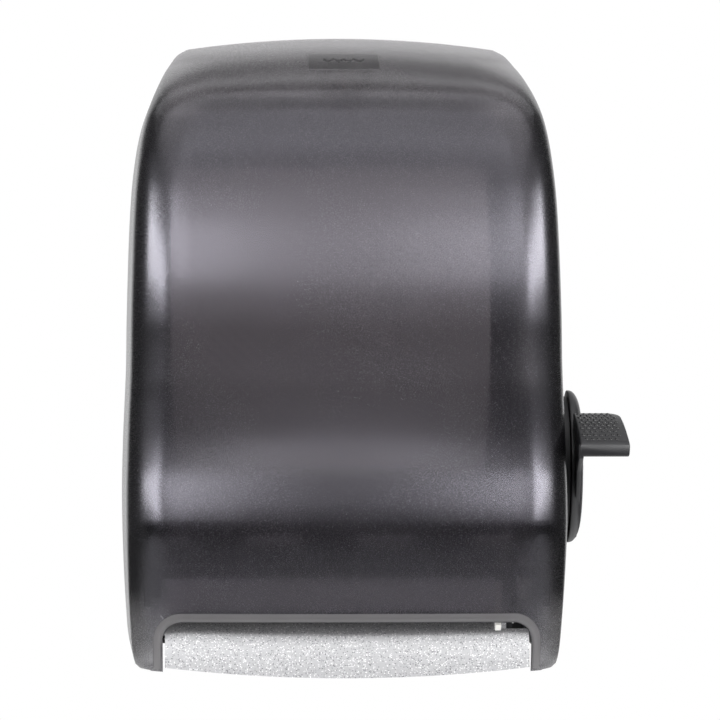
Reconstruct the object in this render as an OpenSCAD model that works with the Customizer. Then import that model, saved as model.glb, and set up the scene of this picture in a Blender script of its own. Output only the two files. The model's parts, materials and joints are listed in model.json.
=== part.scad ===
// Wall-mounted lever dispenser for a paper towel roll.
// Millimetres. X runs to the user's right, Y into the wall, Z up.
// The origin lies on the wall, in the middle of the four wall screws.

/* [Overall] */
// Height from the top edge to the lowest edge of the chute
overall_h = 419; // [410:1:430]
// Room for the back plate and the cover's front, added to the roll's diameter
depth_room = 35; // [34:0.5:40]
// Room beside the roll for the arms, cheeks and gears, each side of the middle
side_room = 46.5; // [46:0.5:52]

/* [Cover] */
// Wall thickness of the cover
cover_wall = 3; // [2.4:0.1:3.4]
// How far the front falls back 100 mm from its middle
front_crown = 4; // [2:0.5:5]
// How far the top edge drops 100 mm from its middle
top_arch = 7; // [5:0.5:9]
// How much narrower the cover is at the front corners, each side
side_taper = 7.5; // [5:0.5:8]
// Height of the arch over the chute, above the lowest edge
arch_h = 35.5; // [33:0.5:38]
// From the cover's widest level in to the end of the arch
leg_w = 31; // [30:0.5:31.5]
// Corner radius of the arch
arch_r = 12; // [8:0.5:16]

/* [Cover hinge and latch] */
// Hinge axis in front of the wall
hinge_out = 22; // [20:0.5:24]
// Hinge axis above the lowest edge
hinge_up = 19.5; // [18:0.5:21]
// Radius of the hinge pins
hinge_pin_r = 3; // [2.5:0.1:3.5]
// Half width of the lock plate under the key slot
lock_half_w = 23; // [20:0.5:26]
// Thickness of the lock plate
lock_t = 2.2; // [1.6:0.1:3]

/* [Back plate] */
// Thickness of the back plate
plate_t = 4; // [3:0.5:5]
// Height of the rim on the back plate
rim_h = 6; // [4:0.5:8]
// Thickness of the rim
rim_t = 3; // [2:0.5:4]
// Distance between the wall screws, across
wall_screw_x = 152.4; // [130:0.2:170]
// Distance between the wall screws, up and down
wall_screw_z = 228.6; // [210:0.2:240]
// Radius of the wall screw holes
wall_screw_r = 3; // [2.5:0.1:3.5]

/* [Cheeks] */
// Thickness of the two cheeks and the gear cover
cheek_t = 4; // [3:0.5:5]
// Width of the gear space between the right cheek and the gear cover
gear_space = 16; // [15:0.5:18]
// Radius of the small screws
screw_r = 2; // [1.5:0.1:2.5]
// Radius of the small screws' heads
screw_head_r = 3.8; // [3.2:0.1:4.4]

/* [Paper roll] */
// Diameter of a full roll
roll_d = 200; // [150:1:201]
// Width of the roll
roll_w = 203; // [195:0.5:204]
// Offset of the roll to the left of the middle
roll_left = 10.5; // [9.5:0.5:11.5]
// Height of the roll's axis above the middle
roll_z = 18; // [16:0.5:22]
// Bore radius of the cardboard core
core_r = 20; // [18:0.5:22]
// Wall of the cardboard core
core_t = 2; // [1:0.25:3]
// How deep the hubs reach into the core
hub_depth = 12; // [9:0.5:14]

/* [Drive] */
// Lever axis in front of the wall
lever_out = 100; // [98:0.5:102]
// Lever axis above the lowest edge
lever_up = 131.5; // [130:0.5:134]
// Gear module
gear_m = 2; // [1.9:0.05:2.1]
// Teeth that a full turn of the sector would have
sector_teeth = 56; // [54:1:58]
// Teeth of the idler between the sector and the pinion
idler_teeth = 16; // [15:1:17]
// Teeth of the pinion on the feed shaft
pinion_teeth = 14; // [13:1:15]
// Face width of the gears
gear_w = 8; // [6:0.5:9]
// Radius of the lever shaft
lever_shaft_r = 6; // [5:0.5:7]
// Radius of the feed shaft
feed_shaft_r = 4; // [3:0.25:5]
// Radius of the feed drum under its sleeves
drum_r = 16; // [13:0.5:17]
// Thickness of the rubber sleeves
sleeve_t = 3; // [2:0.25:3.5]
// Radius of the pinch rolls
pinch_r = 10; // [8:0.5:11]
// Radius of the pinch shaft
pinch_shaft_r = 3; // [2.5:0.25:4]

/* [Lever] */
// Radius of the round lever hub
hub_r = 50; // [46:0.5:52]
// Thickness of the lever hub
hub_t = 9; // [7:0.5:10]
// How far the paddle reaches to the side from the hub's inner face
paddle_w = 34; // [28:0.5:40]
// Length of the paddle from rear to front
paddle_l = 57; // [48:1:60]
// Thickness of the paddle's front edge
paddle_t = 8; // [6:0.5:10]

/* [Chute and tear bar] */
// Gap between the chute and each end of the arch
chute_gap = 1.5; // [1:0.25:4]
// Wall thickness of the chute
chute_t = 3; // [2:0.25:4]
// Radius of the chute's nose
nose_r = 30; // [27:0.5:31]
// Height of the tear bar
bar_h = 26; // [22:0.5:27]
// Thickness of the tear bar
bar_t = 1; // [0.8:0.1:1.5]
// Distance between the tear bar's teeth
tooth_pitch = 3; // [2.5:0.25:5]

/* [Hidden] */

// clearances
run_gap = 0.05;      // radial, a shaft in its bearing
seat_gap = 0.02;     // radial, a fixed fit
side_gap = 0.3;      // between a turning face and the face beside it
nip_gap = 0.2;       // between the feed sleeves and the pinch rolls
lever_gap = 1.5;     // around the lever hub, in the cover's notch
tooth_gap = 0.3;     // backlash of the gears at the pitch line
fn = 48;

overall_d = roll_d + depth_room;               // from the wall to the most forward point of the cover
cover_half_w = roll_w / 2 + side_room;         // half of the cover's width at its widest level
arch_half_w = cover_half_w - leg_w;
chute_half_w = arch_half_w - chute_gap;
top_z = overall_h / 2;
bottom_z = -overall_h / 2;
hinge_y = -hinge_out;
hinge_z = bottom_z + hinge_up;
lever_y = -lever_out;
lever_z = bottom_z + lever_up;

// sideways places
cheek_x = cover_half_w - 20;                   // outer faces of the left cheek and the gear cover
left_in = -cheek_x + cheek_t;                  // inner face of the left cheek
cover_plate_x = cheek_x - cheek_t;             // inner face of the gear cover
right_out = cover_plate_x - gear_space;        // outer face of the right cheek
right_in = right_out - cheek_t;
roll_x0 = -roll_left - roll_w / 2;
roll_x1 = -roll_left + roll_w / 2;
lever_x = cover_half_w - 1.4;                  // inner face of the lever hub

// rollers and gears, as [y, z]
idler_angle = 70.6;                            // the idler below the lever axis, towards the front
feed_angle = 15;                               // the feed axis above the idler, towards the front
pinch_angle = 37;                              // the pinch axis above the feed axis, towards the front
sector_reach = gear_m * (sector_teeth + idler_teeth) / 2;
idler_reach = gear_m * (idler_teeth + pinion_teeth) / 2;
idler_y = lever_y - sector_reach * cos(idler_angle);
idler_z = lever_z - sector_reach * sin(idler_angle);
feed_r = drum_r + sleeve_t;
feed_y = idler_y - idler_reach * cos(feed_angle);
feed_z = idler_z + idler_reach * sin(feed_angle);
idler_pin_r = 3;
pinch_reach = feed_r + pinch_r + nip_gap;
pinch_y = feed_y - pinch_reach * cos(pinch_angle);
pinch_z = feed_z + pinch_reach * sin(pinch_angle);
sleeve_w = 40;
sleeve_step = 72;
bush_t = 3;
gear_x = right_out + (gear_space - gear_w) / 2;

// paper roll and its arms
roll_y = -(roll_d / 2 + plate_t + 1.5);
arm_t = 4;
hub_flange_t = 2;
hub_flange_r = core_r + 5;
left_arm_x = roll_x0 - side_gap - hub_flange_t - arm_t;
right_arm_x = roll_x1 + side_gap + hub_flange_t;
arm_root_h = 56;
arm_tip_r = 22;
arm_pin_r = 3;
arm_pin_x = right_arm_x + arm_t;
arm_pin_y = -plate_t - 8;
knuckle_r = 6;
ear_t = 6;
arm_ear_in = arm_t + hub_flange_t - 0.7;       // the ears on the back plate stay clear of the roll

// tear bar and chute
front_y = -overall_d;
bar_y = front_y + 31;                          // front face of the tear bar
crossbar_t = 8;
crossbar_h = 19;
crossbar_z = bottom_z + 51.5;                  // underside of the crossbar
bar_tip_z = bottom_z + 37.5;
bar_x0 = left_in + 6;
guide_x = roll_x1 + 2.5;                       // the paper guide stands just past the paper
guide_w = 4;
bar_x1 = guide_x;
nose_y = front_y + 59.9;                       // centre of the nose's arc
nose_z = bottom_z + 9.8;
ramp_tilt = 13.3;
ramp_l = 34;
chute_sag = 7;                                 // how far the bottom edge is lower in the middle

// lock, on the sloping top face
lock_out = 104;
lock_half_l = 21;
lock_tilt = 16.4;

// ---- the cover's form ----
// Rows of [height, inset of the half width from the widest level]
width_rows = [
    [209.5, 44], [205, 37], [198, 31.8], [190, 27.4], [178, 22.4], [164, 17.2], [150, 13.0],
    [130, 9.3], [105, 6.5], [75, 4.8], [20, 3.2], [-15, 2.7], [-60, 0.8], [-100, 0], [-145, 1.1],
    [-185, 3.4], [-198, 5], [-203.5, 6.8], [-206, 10]
];
// Rows of [height, inset of the depth from the most forward point]
depth_rows = [
    [209.5, 230], [207, 212], [200, 174], [192, 141.7], [184, 115.7], [177, 97], [171, 84], [163, 71],
    [155, 63], [150, 59.5], [130, 47.5], [110, 38.5], [97, 33.7], [77, 27.5], [57, 22.5], [38, 18.8],
    [18, 16.5], [2, 16], [-9, 15.4], [-21, 14.4], [-34, 13.4], [-54, 10.8], [-74, 6.8], [-93, 3],
    [-103, 1.3], [-110, 0.3], [-113.5, 0], [-118, 0.8], [-125, 3.2], [-140, 9.2], [-166, 19.2],
    [-180, 24], [-206, 31.5]
];
// Rows of [height, share of the front crown], which is stronger on the belly
crown_rows = [
    [209.5, 0.7], [-36, 0.7], [-54, 0.93], [-66, 1.25], [-84, 1.33], [-103, 1.18], [-118, 1], [-206, 1]
];
corner_r = 37;                                 // corner radius in plan, where the depth allows it
arch_from = 100;                               // height where the levels begin to arch
form_h = 419;                                  // height that the rows are written for
cover_low = bottom_z + 3.5;                    // lowest level of the cover

function row_before(rows, z, i = 0) =
    i >= len(rows) - 2 || z >= rows[i + 1][0] ? i : row_before(rows, z, i + 1);
function row_slope(rows, i) =
    let (a = rows[max(i - 1, 0)], b = rows[min(i + 1, len(rows) - 1)]) (b[1] - a[1]) / (b[0] - a[0]);
// Smooth curve through the rows
function smooth(rows, z) =
    let (
        i = row_before(rows, z), a = rows[i], b = rows[i + 1],
        h = b[0] - a[0], u = (z - a[0]) / h,
        ma = row_slope(rows, i) * h, mb = row_slope(rows, i + 1) * h
    )
    a[1] * (2*u*u*u - 3*u*u + 1) + ma * (u*u*u - 2*u*u + u)
        + b[1] * (3*u*u - 2*u*u*u) + mb * (u*u*u - u*u);

function half_w(z) = cover_half_w - smooth(width_rows, z * form_h / overall_h);
function depth(z) = overall_d - smooth(depth_rows, z * form_h / overall_h);
function arch_share(z) = pow(max(0, (z - arch_from) / (top_z - arch_from)), 2);
function level_z(x, z) = z - top_arch * pow(x / 100, 2) * arch_share(z);

// Right half of a level, from the wall round the corner to the middle of the front.
// in: how far the surface lies inside the outer one
function half_level(z, in, rear_y) =
    let (
        w = half_w(z) - in, d = depth(z) - in,
        k = front_crown / 10000 * smooth(crown_rows, z * form_h / overall_h) * min(1, d / 90),
        r = min(corner_r - in, 0.45 * d),
        t = side_taper * d / overall_d,
        xe = (w - t - r) / (1 - 2 * k * r),
        a0 = atan(2 * k * xe),
        cy = -d + k * xe * xe + r * cos(a0),
        cx = w - t - r
    )
    concat(
        [for (s = [0, 1/3, 2/3]) [w - t * s, rear_y + (cy - rear_y) * s]],
        [for (i = [0 : 8]) let (a = 90 - (90 - a0) * i / 8) [cx + r * sin(a), cy - r * cos(a)]],
        [for (i = [1 : 7]) let (x = xe * (1 - i / 7)) [x, -d + k * x * x]]
    );
function level(z, in, rear_y) =
    let (h = half_level(z, in, rear_y), n = len(h))
    concat(h, [for (i = [n - 2 : -1 : 0]) [-h[i][0], h[i][1]]]);

level_count = 46;
// Levels lie closer together near the top
function level_at(i) = top_z - (top_z - cover_low) * pow(i / level_count, 1.25);

// Solid cover form, set in by a distance and lowered by the same distance
module cover_form(in, rear_y, drop) {
    rings = [for (i = [0 : level_count])
        let (z = level_at(i)) [for (p = level(z, in, rear_y)) [p[0], p[1], level_z(p[0], z) - drop]]];
    n = len(rings[0]);
    points = [for (ring = rings) for (p = ring) p];
    sides = [for (i = [0 : level_count - 1]) for (j = [0 : n - 1])
        let (a = i * n + j, b = i * n + (j + 1) % n, c = a + n, d = b + n) each [[a, b, d], [a, d, c]]];
    // the end levels are closed by strips from side to side, because the top one is arched
    top = [for (j = [0 : n / 2 - 1]) if (j < n - 2 - j) each
        (j + 1 == n - 2 - j ? [[j, n - 1 - j, j + 1]]
                            : [[j, n - 1 - j, j + 1], [j + 1, n - 1 - j, n - 2 - j]])];
    low = level_count * n;
    bottom = [for (f = top) [f[0] + low, f[2] + low, f[1] + low]];
    polyhedron(points, concat([for (f = sides) [f[0], f[2], f[1]]], [for (f = top) [f[0], f[2], f[1]]],
                              [for (f = bottom) [f[0], f[2], f[1]]]), convexity = 6);
}

// ---- helpers ----
// Plate in the YZ plane, from x0 to x0 + t
module yz(x0, t) { translate([x0, 0, 0]) rotate([90, 0, 90]) linear_extrude(t) children(); }
// Plate in the XZ plane, from y0 forwards by t
module xz(y0, t) { translate([0, y0, 0]) rotate([90, 0, 0]) linear_extrude(t) children(); }
// Round bar along X
module xbar(x0, l, r, y, z) { translate([x0, y, z]) rotate([0, 90, 0]) cylinder(h = l, r = r, $fn = fn); }
// Round bar that runs forwards from the wall
module ybar(y0, l, r, x, z) { translate([x, y0, z]) rotate([90, 0, 0]) cylinder(h = l, r = r, $fn = fn); }
// Pan-head screw along X; the head lies past x0 on the side that dir points to
module xscrew(x0, l, y, z, dir) {
    xbar(dir > 0 ? x0 - l : x0, l, screw_r - seat_gap, y, z);
    difference() {
        xbar(dir > 0 ? x0 : x0 - 2, 2, screw_head_r, y, z);
        translate([dir > 0 ? x0 + 1 : x0 - 2.5, y - 2.4, z - 0.5]) cube([1.5, 4.8, 1]);
        translate([dir > 0 ? x0 + 1 : x0 - 2.5, y - 0.5, z - 2.4]) cube([1.5, 1, 4.8]);
    }
}
// Pan-head screw that goes back towards the wall from y0
module yscrew(y0, l, x, z) {
    ybar(y0 + l, l, screw_r - seat_gap, x, z);
    difference() {
        ybar(y0, 2, screw_head_r, x, z);
        translate([x - 2.4, y0 - 2.5, z - 0.5]) cube([4.8, 1.5, 1]);
        translate([x - 0.5, y0 - 2.5, z - 2.4]) cube([1, 1.5, 4.8]);
    }
}
// Frame on the sloping top face, at the middle of the lock
module at_lock() {
    face_z = level_on_top(lock_out);
    translate([0, -lock_out, face_z]) rotate([lock_tilt, 0, 0]) children();
}
// Height of the top face at a distance from the wall, on the middle line
function level_on_top(out, lo = 150, hi = 209, n = 24) =
    let (mid = (lo + hi) / 2) n == 0 ? mid : depth(mid) > out ? level_on_top(out, mid, hi, n - 1)
                                                              : level_on_top(out, lo, mid, n - 1);

// ---- chassis ----
plate_half_w = cover_half_w - cover_wall - 10;
plate_low = bottom_z + 9.5;
plate_top = top_z - 23.5;
module plate_outline(in) {
    w = plate_half_w - in;
    polygon([
        [-w, plate_low + in], [w, plate_low + in], [w, top_z - 92], [w - 11, top_z - 60],
        [w - 44, plate_top - in], [-w + 44, plate_top - in], [-w + 11, top_z - 60], [-w, top_z - 92]
    ]);
}
flange_w = 12;
cheek_low = bottom_z + 14;
cheek_top = lever_z + 54;
cheek_screw_z = [lever_z + 30, hinge_z + 30];
arm_screw_z = [roll_z - 16, roll_z + 16];
module back_plate() {
    color("dimgray") difference() {
        union() {
            xz(0, plate_t) plate_outline(0);
            xz(-plate_t, rim_h) difference() { plate_outline(0); plate_outline(rim_t); }
            for (sx = [-1, 1], sz = [-1, 1])
                ybar(-plate_t, 2, wall_screw_r + 5, sx * wall_screw_x / 2, sz * wall_screw_z / 2);
            for (z = [roll_z - arm_root_h / 2 - ear_t - side_gap, roll_z + arm_root_h / 2 + side_gap])
                translate([arm_pin_x - arm_ear_in, arm_pin_y - 6, z])
                    cube([arm_ear_in + 7, 6 - arm_pin_y - plate_t, ear_t]);
        }
        for (sx = [-1, 1], sz = [-1, 1])
            ybar(1, plate_t + 4, wall_screw_r, sx * wall_screw_x / 2, sz * wall_screw_z / 2);
        for (z = cheek_screw_z, x = [left_in + flange_w / 2, right_in - flange_w / 2])
            ybar(1, plate_t + 2, screw_r, x, z);
        for (z = arm_screw_z) ybar(1, plate_t + 2, screw_r, left_arm_x - 7, z);
        for (x = [-8, 8]) ybar(1, plate_t + 2, screw_r, x, latch_screw_z);
        translate([arm_pin_x, arm_pin_y, roll_z - 50])
            cylinder(h = 100, r = arm_pin_r + seat_gap, $fn = fn);
    }
}

// Outline of a cheek, as [y, z]
module cheek_outline() {
    polygon([
        [-plate_t, cheek_low], [-plate_t, cheek_top], [lever_y - 12, cheek_top],
        [lever_y - 50, lever_z + 22], [pinch_y - 16, pinch_z + 21], [bar_y + 1, pinch_z - 12],
        [bar_y + 1, crossbar_z + 6], [bar_y + 4, crossbar_z - 2], [bar_y + 6, crossbar_z - 6],
        [nose_y + 28, crossbar_z - 2],
        [nose_y + 32, cheek_low]
    ]);
}
// Slot of a pinch block, in the direction that it slides
block_l = 16;
block_w = 12;
spring_l = 7;
module at_pinch() { translate([0, pinch_y, pinch_z]) rotate([-pinch_angle, 0, 0]) children(); }
module cheek(x0, inward) {
    flange_x = inward > 0 ? x0 + cheek_t - 1 : x0 - flange_w;
    difference() {
        union() {
            yz(x0, cheek_t) cheek_outline();
            translate([flange_x, -plate_t - cheek_t, cheek_low])
                cube([flange_w + 1, cheek_t, cheek_top - cheek_low]);
        }
        at_pinch() translate([x0 - 1, -block_l / 2 - spring_l, -block_w / 2])
            cube([cheek_t + 2, block_l + spring_l, block_w]);
        xbar(x0 - 1, cheek_t + 2, feed_shaft_r + bush_t, feed_y, feed_z);
        for (z = cheek_screw_z)
            ybar(0, plate_t + cheek_t + 1, screw_r, flange_x + (inward > 0 ? 1 : 0) + flange_w / 2, z);
        for (p = side_screws) xbar(x0 - 1, cheek_t + 2, screw_r, p[0], p[1]);
        xbar(inward > 0 ? x0 - 1 : x0 + cheek_t - head_sink, head_sink + 1, screw_head_r + 0.3,
            side_screws[0][0], side_screws[0][1]);
    }
}
head_sink = 1.2;   // depth that the heads of the crossbar's screws are sunk in the cheeks
crossbar_y = bar_y + bar_t + crossbar_t;       // rear face of the crossbar
ear_hole_y = nose_y + 44;
ear_hole_z = bottom_z + 34;
// screws that hold the crossbar and the chute between the cheeks, as [y, z]
side_screws = [[crossbar_y - crossbar_t / 2, crossbar_z + crossbar_h / 2], [ear_hole_y, ear_hole_z]];
hinge_boss_r = 9;
hinge_boss_l = 6;
module left_cheek() {
    color("dimgray") difference() {
        union() {
            cheek(-cheek_x, 1);
            xbar(-cheek_x - hinge_boss_l, hinge_boss_l + cheek_t, hinge_boss_r, hinge_y, hinge_z);
        }
        xbar(-cheek_x - 20, 40, hinge_pin_r + seat_gap, hinge_y, hinge_z);
    }
}
module right_cheek() {
    color("dimgray") difference() {
        cheek(right_in, -1);
        xbar(right_in - 1, cheek_t + 2, lever_shaft_r + bush_t - 1, lever_y, lever_z);
        xbar(right_in - 1, cheek_t + 2, idler_pin_r + seat_gap, idler_y, idler_z);
        for (p = posts) xbar(right_in - 1, cheek_t + 2, screw_r, p[0], p[1]);
    }
}
// Posts between the right cheek and the gear cover, as [y, z]
post_r = 5;
posts = [
    [-20, cheek_top - 10], [lever_y - 50, lever_z + 13.5], [-20, lever_z - 40],
    [bar_y + 17, crossbar_z + 16]
];
boss_r = hub_r - 4;
boss_wall = 4;
boss_x1 = lever_x - 0.6;
module gear_cover() {
    color("dimgray") difference() {
        union() {
            yz(cover_plate_x, cheek_t) cheek_outline();
            xbar(cover_plate_x, boss_x1 - cover_plate_x, boss_r, lever_y, lever_z);
            xbar(cheek_x - 1, hinge_boss_l + 1, hinge_boss_r, hinge_y, hinge_z);
            for (p = posts) xbar(right_out, gear_space + 1, post_r, p[0], p[1]);
        }
        difference() {
            xbar(cheek_x + 2, 40, boss_r - boss_wall, lever_y, lever_z);
            xbar(cheek_x, 50, lever_shaft_r + bush_t + 3, lever_y, lever_z);
        }
        xbar(cover_plate_x - 1, 60, lever_shaft_r + bush_t - 1, lever_y, lever_z);
        xbar(cover_plate_x - 1, 40, hinge_pin_r + seat_gap, hinge_y, hinge_z);
        xbar(cover_plate_x - 1, cheek_t + 1.5, idler_pin_r + seat_gap, idler_y, idler_z);
        for (p = posts) xbar(right_out - 1, 60, screw_r, p[0], p[1]);
    }
}
module cheek_screws() {
    color("silver") for (z = cheek_screw_z, x = [left_in + flange_w / 2, right_in - flange_w / 2])
        yscrew(-plate_t - cheek_t, plate_t + cheek_t - 0.5, x, z);
}
module gear_cover_screws() {
    color("silver") for (p = posts)
        xscrew(cheek_x, cheek_t + gear_space + cheek_t, p[0], p[1], 1);
}
module hinge_pins() {
    end_x = lug_end_x - lug_floor - side_gap;
    color("silver") for (s = [-1, 1])
        xbar(s > 0 ? cover_plate_x : -end_x, end_x - cover_plate_x, hinge_pin_r, hinge_y, hinge_z);
}

module front_crossbar() {
    color("dimgray") difference() {
        translate([left_in, crossbar_y - crossbar_t, crossbar_z])
            cube([right_in - left_in, crossbar_t, crossbar_h]);
        for (x = bar_screws) ybar(crossbar_y + 1, crossbar_t + 2, screw_r, x, crossbar_z + crossbar_h / 2);
        for (x = [left_in - 1, right_in - 9]) xbar(x, 10, screw_r, side_screws[0][0], side_screws[0][1]);
    }
}
module crossbar_screws() {
    color("silver") {
        xscrew(-cheek_x + head_sink, cheek_t + 8 - head_sink, side_screws[0][0], side_screws[0][1], -1);
        xscrew(right_out - head_sink, cheek_t + 8 - head_sink, side_screws[0][0], side_screws[0][1], 1);
    }
}
module chute_screws() {
    color("silver") {
        xscrew(-cheek_x, cheek_t + chute_t, side_screws[1][0], side_screws[1][1], -1);
        xscrew(right_out, cheek_t + chute_t, side_screws[1][0], side_screws[1][1], 1);
    }
}
bar_screws = [for (i = [-1, 0, 1]) -roll_left + i * 80];
module tear_bar() {
    teeth = floor((bar_x1 - bar_x0) / tooth_pitch);
    color("silver") difference() {
        xz(bar_y + bar_t, bar_t) polygon(concat(
            [[bar_x1, bar_tip_z + bar_h], [bar_x0, bar_tip_z + bar_h]],
            [for (i = [0 : teeth - 1]) each [
                [bar_x0 + i * tooth_pitch, bar_tip_z + tooth_pitch],
                [bar_x0 + (i + 0.5) * tooth_pitch, bar_tip_z]
            ]],
            [[bar_x0 + teeth * tooth_pitch, bar_tip_z + tooth_pitch], [bar_x1, bar_tip_z + tooth_pitch]]
        ));
        for (x = bar_screws) ybar(bar_y + 2, 4, screw_r, x, crossbar_z + crossbar_h / 2);
    }
}
module tear_bar_screws() {
    color("silver") for (x = bar_screws)
        yscrew(bar_y, crossbar_t, x, crossbar_z + crossbar_h / 2);
}
// White guide that keeps the paper's right edge straight
module paper_guide() {
    color("white") translate([guide_x, 0, 0]) difference() {
        yz(0, guide_w) polygon([
            [crossbar_y - crossbar_t, crossbar_z + 10], [crossbar_y - crossbar_t - 3, crossbar_z + 10],
            [crossbar_y - crossbar_t - 3, bar_tip_z - 4], [crossbar_y - crossbar_t, bar_tip_z - 7.5],
            [crossbar_y - crossbar_t + 4, bar_tip_z - 4], [crossbar_y - crossbar_t + 4, crossbar_z],
            [crossbar_y - crossbar_t, crossbar_z]
        ]);
    }
}

// Section of the chute as [y, z]: the ramp, the nose and its lower edge
function nose_arc(r, a0, a1) = [for (i = [0 : 12]) let (a = a0 + (a1 - a0) * i / 12)
    [nose_y - r * sin(a), nose_z + r * cos(a)]];
nose_end = 115;
module chute_section(from_angle, ramp) {
    outer = nose_arc(nose_r, from_angle, nose_end);
    inner = nose_arc(nose_r - chute_t, nose_end, from_angle);
    rise = ramp ? ramp_l : 0;
    back = [rise * cos(ramp_tilt), rise * sin(ramp_tilt)];
    polygon(concat(ramp ? [outer[0] + back] : [], outer, inner, ramp ? [inner[12] + back] : []));
}
ramp_end = nose_y - nose_r * sin(ramp_tilt) + ramp_l * cos(ramp_tilt);
module chute() {
    ear_x = [left_in, right_in - chute_t];
    color("gainsboro") difference() {
        union() {
            yz(-chute_half_w, guide_x + chute_half_w) chute_section(ramp_tilt, true);
            yz(guide_x - 1, chute_half_w - guide_x + 1) chute_section(45, false);
            // rear bar and the ears that are screwed to the cheeks
            translate([left_in, ramp_end - 2, ear_hole_z - 10])
                cube([right_in - left_in, chute_t, 22.6]);
            for (x = ear_x) yz(x, chute_t) polygon([
                [ramp_end - 1, ear_hole_z - 10], [ear_hole_y + 7, ear_hole_z - 7],
                [ear_hole_y + 7, ear_hole_z + 7], [ramp_end - 1, ear_hole_z + 12.6]
            ]);
        }
        // the lower edge hangs lower in the middle
        difference() {
            translate([-200, front_y, bottom_z - 20]) cube([400, 90, 40]);
            translate([0, 0, bottom_z + chute_edge_r]) rotate([90, 0, 0]) translate([0, 0, -1])
                cylinder(h = overall_d + 2, r = chute_edge_r, $fn = 180);
        }
        for (x = ear_x) xbar(x - 1, chute_t + 2, screw_r, ear_hole_y, ear_hole_z);
    }
}
chute_edge_r = (pow(chute_half_w, 2) + pow(chute_sag, 2)) / (2 * chute_sag);

// ---- roll arms ----
// Outline of a roll arm from its root to the round tip, as [y, z]
module arm_outline(root_y) {
    polygon([
        [root_y, roll_z - arm_root_h / 2], [root_y, roll_z + arm_root_h / 2],
        [roll_y + 4, roll_z + arm_tip_r - 0.4], [roll_y + 4, roll_z - arm_tip_r + 0.4]
    ]);
    translate([roll_y, roll_z]) circle(r = arm_tip_r, $fn = fn);
}
module left_roll_arm() {
    color("dimgray") difference() {
        union() {
            yz(left_arm_x, arm_t) arm_outline(-plate_t);
            translate([left_arm_x - 13, -plate_t - arm_t, roll_z - arm_root_h / 2])
                cube([14, arm_t, arm_root_h]);
        }
        for (z = arm_screw_z) ybar(0, plate_t + arm_t + 1, screw_r, left_arm_x - 7, z);
        xbar(left_arm_x - 1, arm_t + 2, 6 + seat_gap, roll_y, roll_z);
    }
}
module roll_arm_screws() {
    color("silver") for (z = arm_screw_z)
        yscrew(-plate_t - arm_t, plate_t + arm_t - 0.5, left_arm_x - 7, z);
}
module left_hub() {
    color("white") {
        xbar(left_arm_x, arm_t, 6, roll_y, roll_z);
        xbar(left_arm_x + arm_t, hub_flange_t, hub_flange_r, roll_y, roll_z);
        xbar(left_arm_x + arm_t + hub_flange_t, hub_depth - 2, core_r - run_gap, roll_y, roll_z);
        translate([left_arm_x + arm_t + hub_flange_t + hub_depth - 2, roll_y, roll_z]) rotate([0, 90, 0])
            cylinder(h = 3, r1 = core_r - run_gap, r2 = core_r - 3, $fn = fn);
    }
}
module right_roll_arm() {
    color("dimgray") difference() {
        union() {
            yz(right_arm_x, arm_t) arm_outline(arm_pin_y);
            for (z = [roll_z - arm_root_h / 2, roll_z + 8])
                translate([arm_pin_x, arm_pin_y, z])
                    cylinder(h = arm_root_h / 2 - 8, r = knuckle_r, $fn = fn);
        }
        translate([arm_pin_x - knuckle_r - 1, arm_pin_y - knuckle_r - 1, roll_z - 8])
            cube([2 * knuckle_r + 2, 2 * knuckle_r + 2, 16]);
        translate([arm_pin_x, arm_pin_y, roll_z - 50])
            cylinder(h = 100, r = arm_pin_r + run_gap, $fn = fn);
        xbar(right_arm_x - 1, arm_t + 2, 6 + seat_gap, roll_y, roll_z);
    }
}
module right_hub() {
    color("white") {
        xbar(right_arm_x, arm_t, 6, roll_y, roll_z);
        xbar(right_arm_x - hub_flange_t, hub_flange_t, hub_flange_r, roll_y, roll_z);
        translate([right_arm_x - hub_flange_t - hub_depth, roll_y, roll_z]) rotate([0, 90, 0])
            cylinder(h = hub_depth, r1 = core_r - 2.2, r2 = core_r - 0.5, $fn = fn);
    }
}
module arm_pin() {
    color("silver") {
        translate([arm_pin_x, arm_pin_y, roll_z - arm_root_h / 2 - ear_t])
            cylinder(h = arm_root_h + 2 * ear_t + 0.3, r = arm_pin_r, $fn = fn);
        translate([arm_pin_x, arm_pin_y, roll_z + arm_root_h / 2 + ear_t + 0.3])
            cylinder(h = 2, r = arm_pin_r + 2, $fn = fn);
    }
}
// Torsion spring that presses the right arm against the roll, inside the knuckle
module arm_spring() {
    color("silver") translate([arm_pin_x, arm_pin_y, roll_z - 7.5]) difference() {
        cylinder(h = 15, r = knuckle_r - 0.4, $fn = fn);
        translate([0, 0, -1]) cylinder(h = 17, r = arm_pin_r + 0.4, $fn = fn);
    }
}

// ---- bearings ----
module bush(x0, l, bore, flange_x) {
    difference() {
        union() {
            xbar(x0, l, bore + bush_t - seat_gap, 0, 0);
            xbar(flange_x, 1, bore + bush_t + 2, 0, 0);
        }
        xbar(x0 - 2, l + 4, bore + run_gap, 0, 0);
    }
}
module feed_bushes() {
    color("ivory") {
        translate([0, feed_y, feed_z]) bush(-cheek_x, cheek_t, feed_shaft_r, left_in);
        translate([0, feed_y, feed_z]) bush(right_in, cheek_t, feed_shaft_r, right_in - 1);
    }
}
module lever_bushes() {
    wall = bush_t - 1;
    color("ivory") for (b = [[right_in, cheek_t], [cover_plate_x, boss_x1 - cover_plate_x]])
        difference() {
            xbar(b[0], b[1], lever_shaft_r + wall - seat_gap, lever_y, lever_z);
            xbar(b[0] - 1, b[1] + 2, lever_shaft_r + run_gap, lever_y, lever_z);
        }
}
module pinch_blocks() {
    color("ivory") for (x0 = [-cheek_x, right_in - 2]) difference() {
        at_pinch() translate([x0, -block_l / 2, -block_w / 2 + 0.1])
            cube([cheek_t + 2, block_l, block_w - 0.2]);
        xbar(x0 - 1, cheek_t + 4, pinch_shaft_r + run_gap, pinch_y, pinch_z);
    }
}
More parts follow.
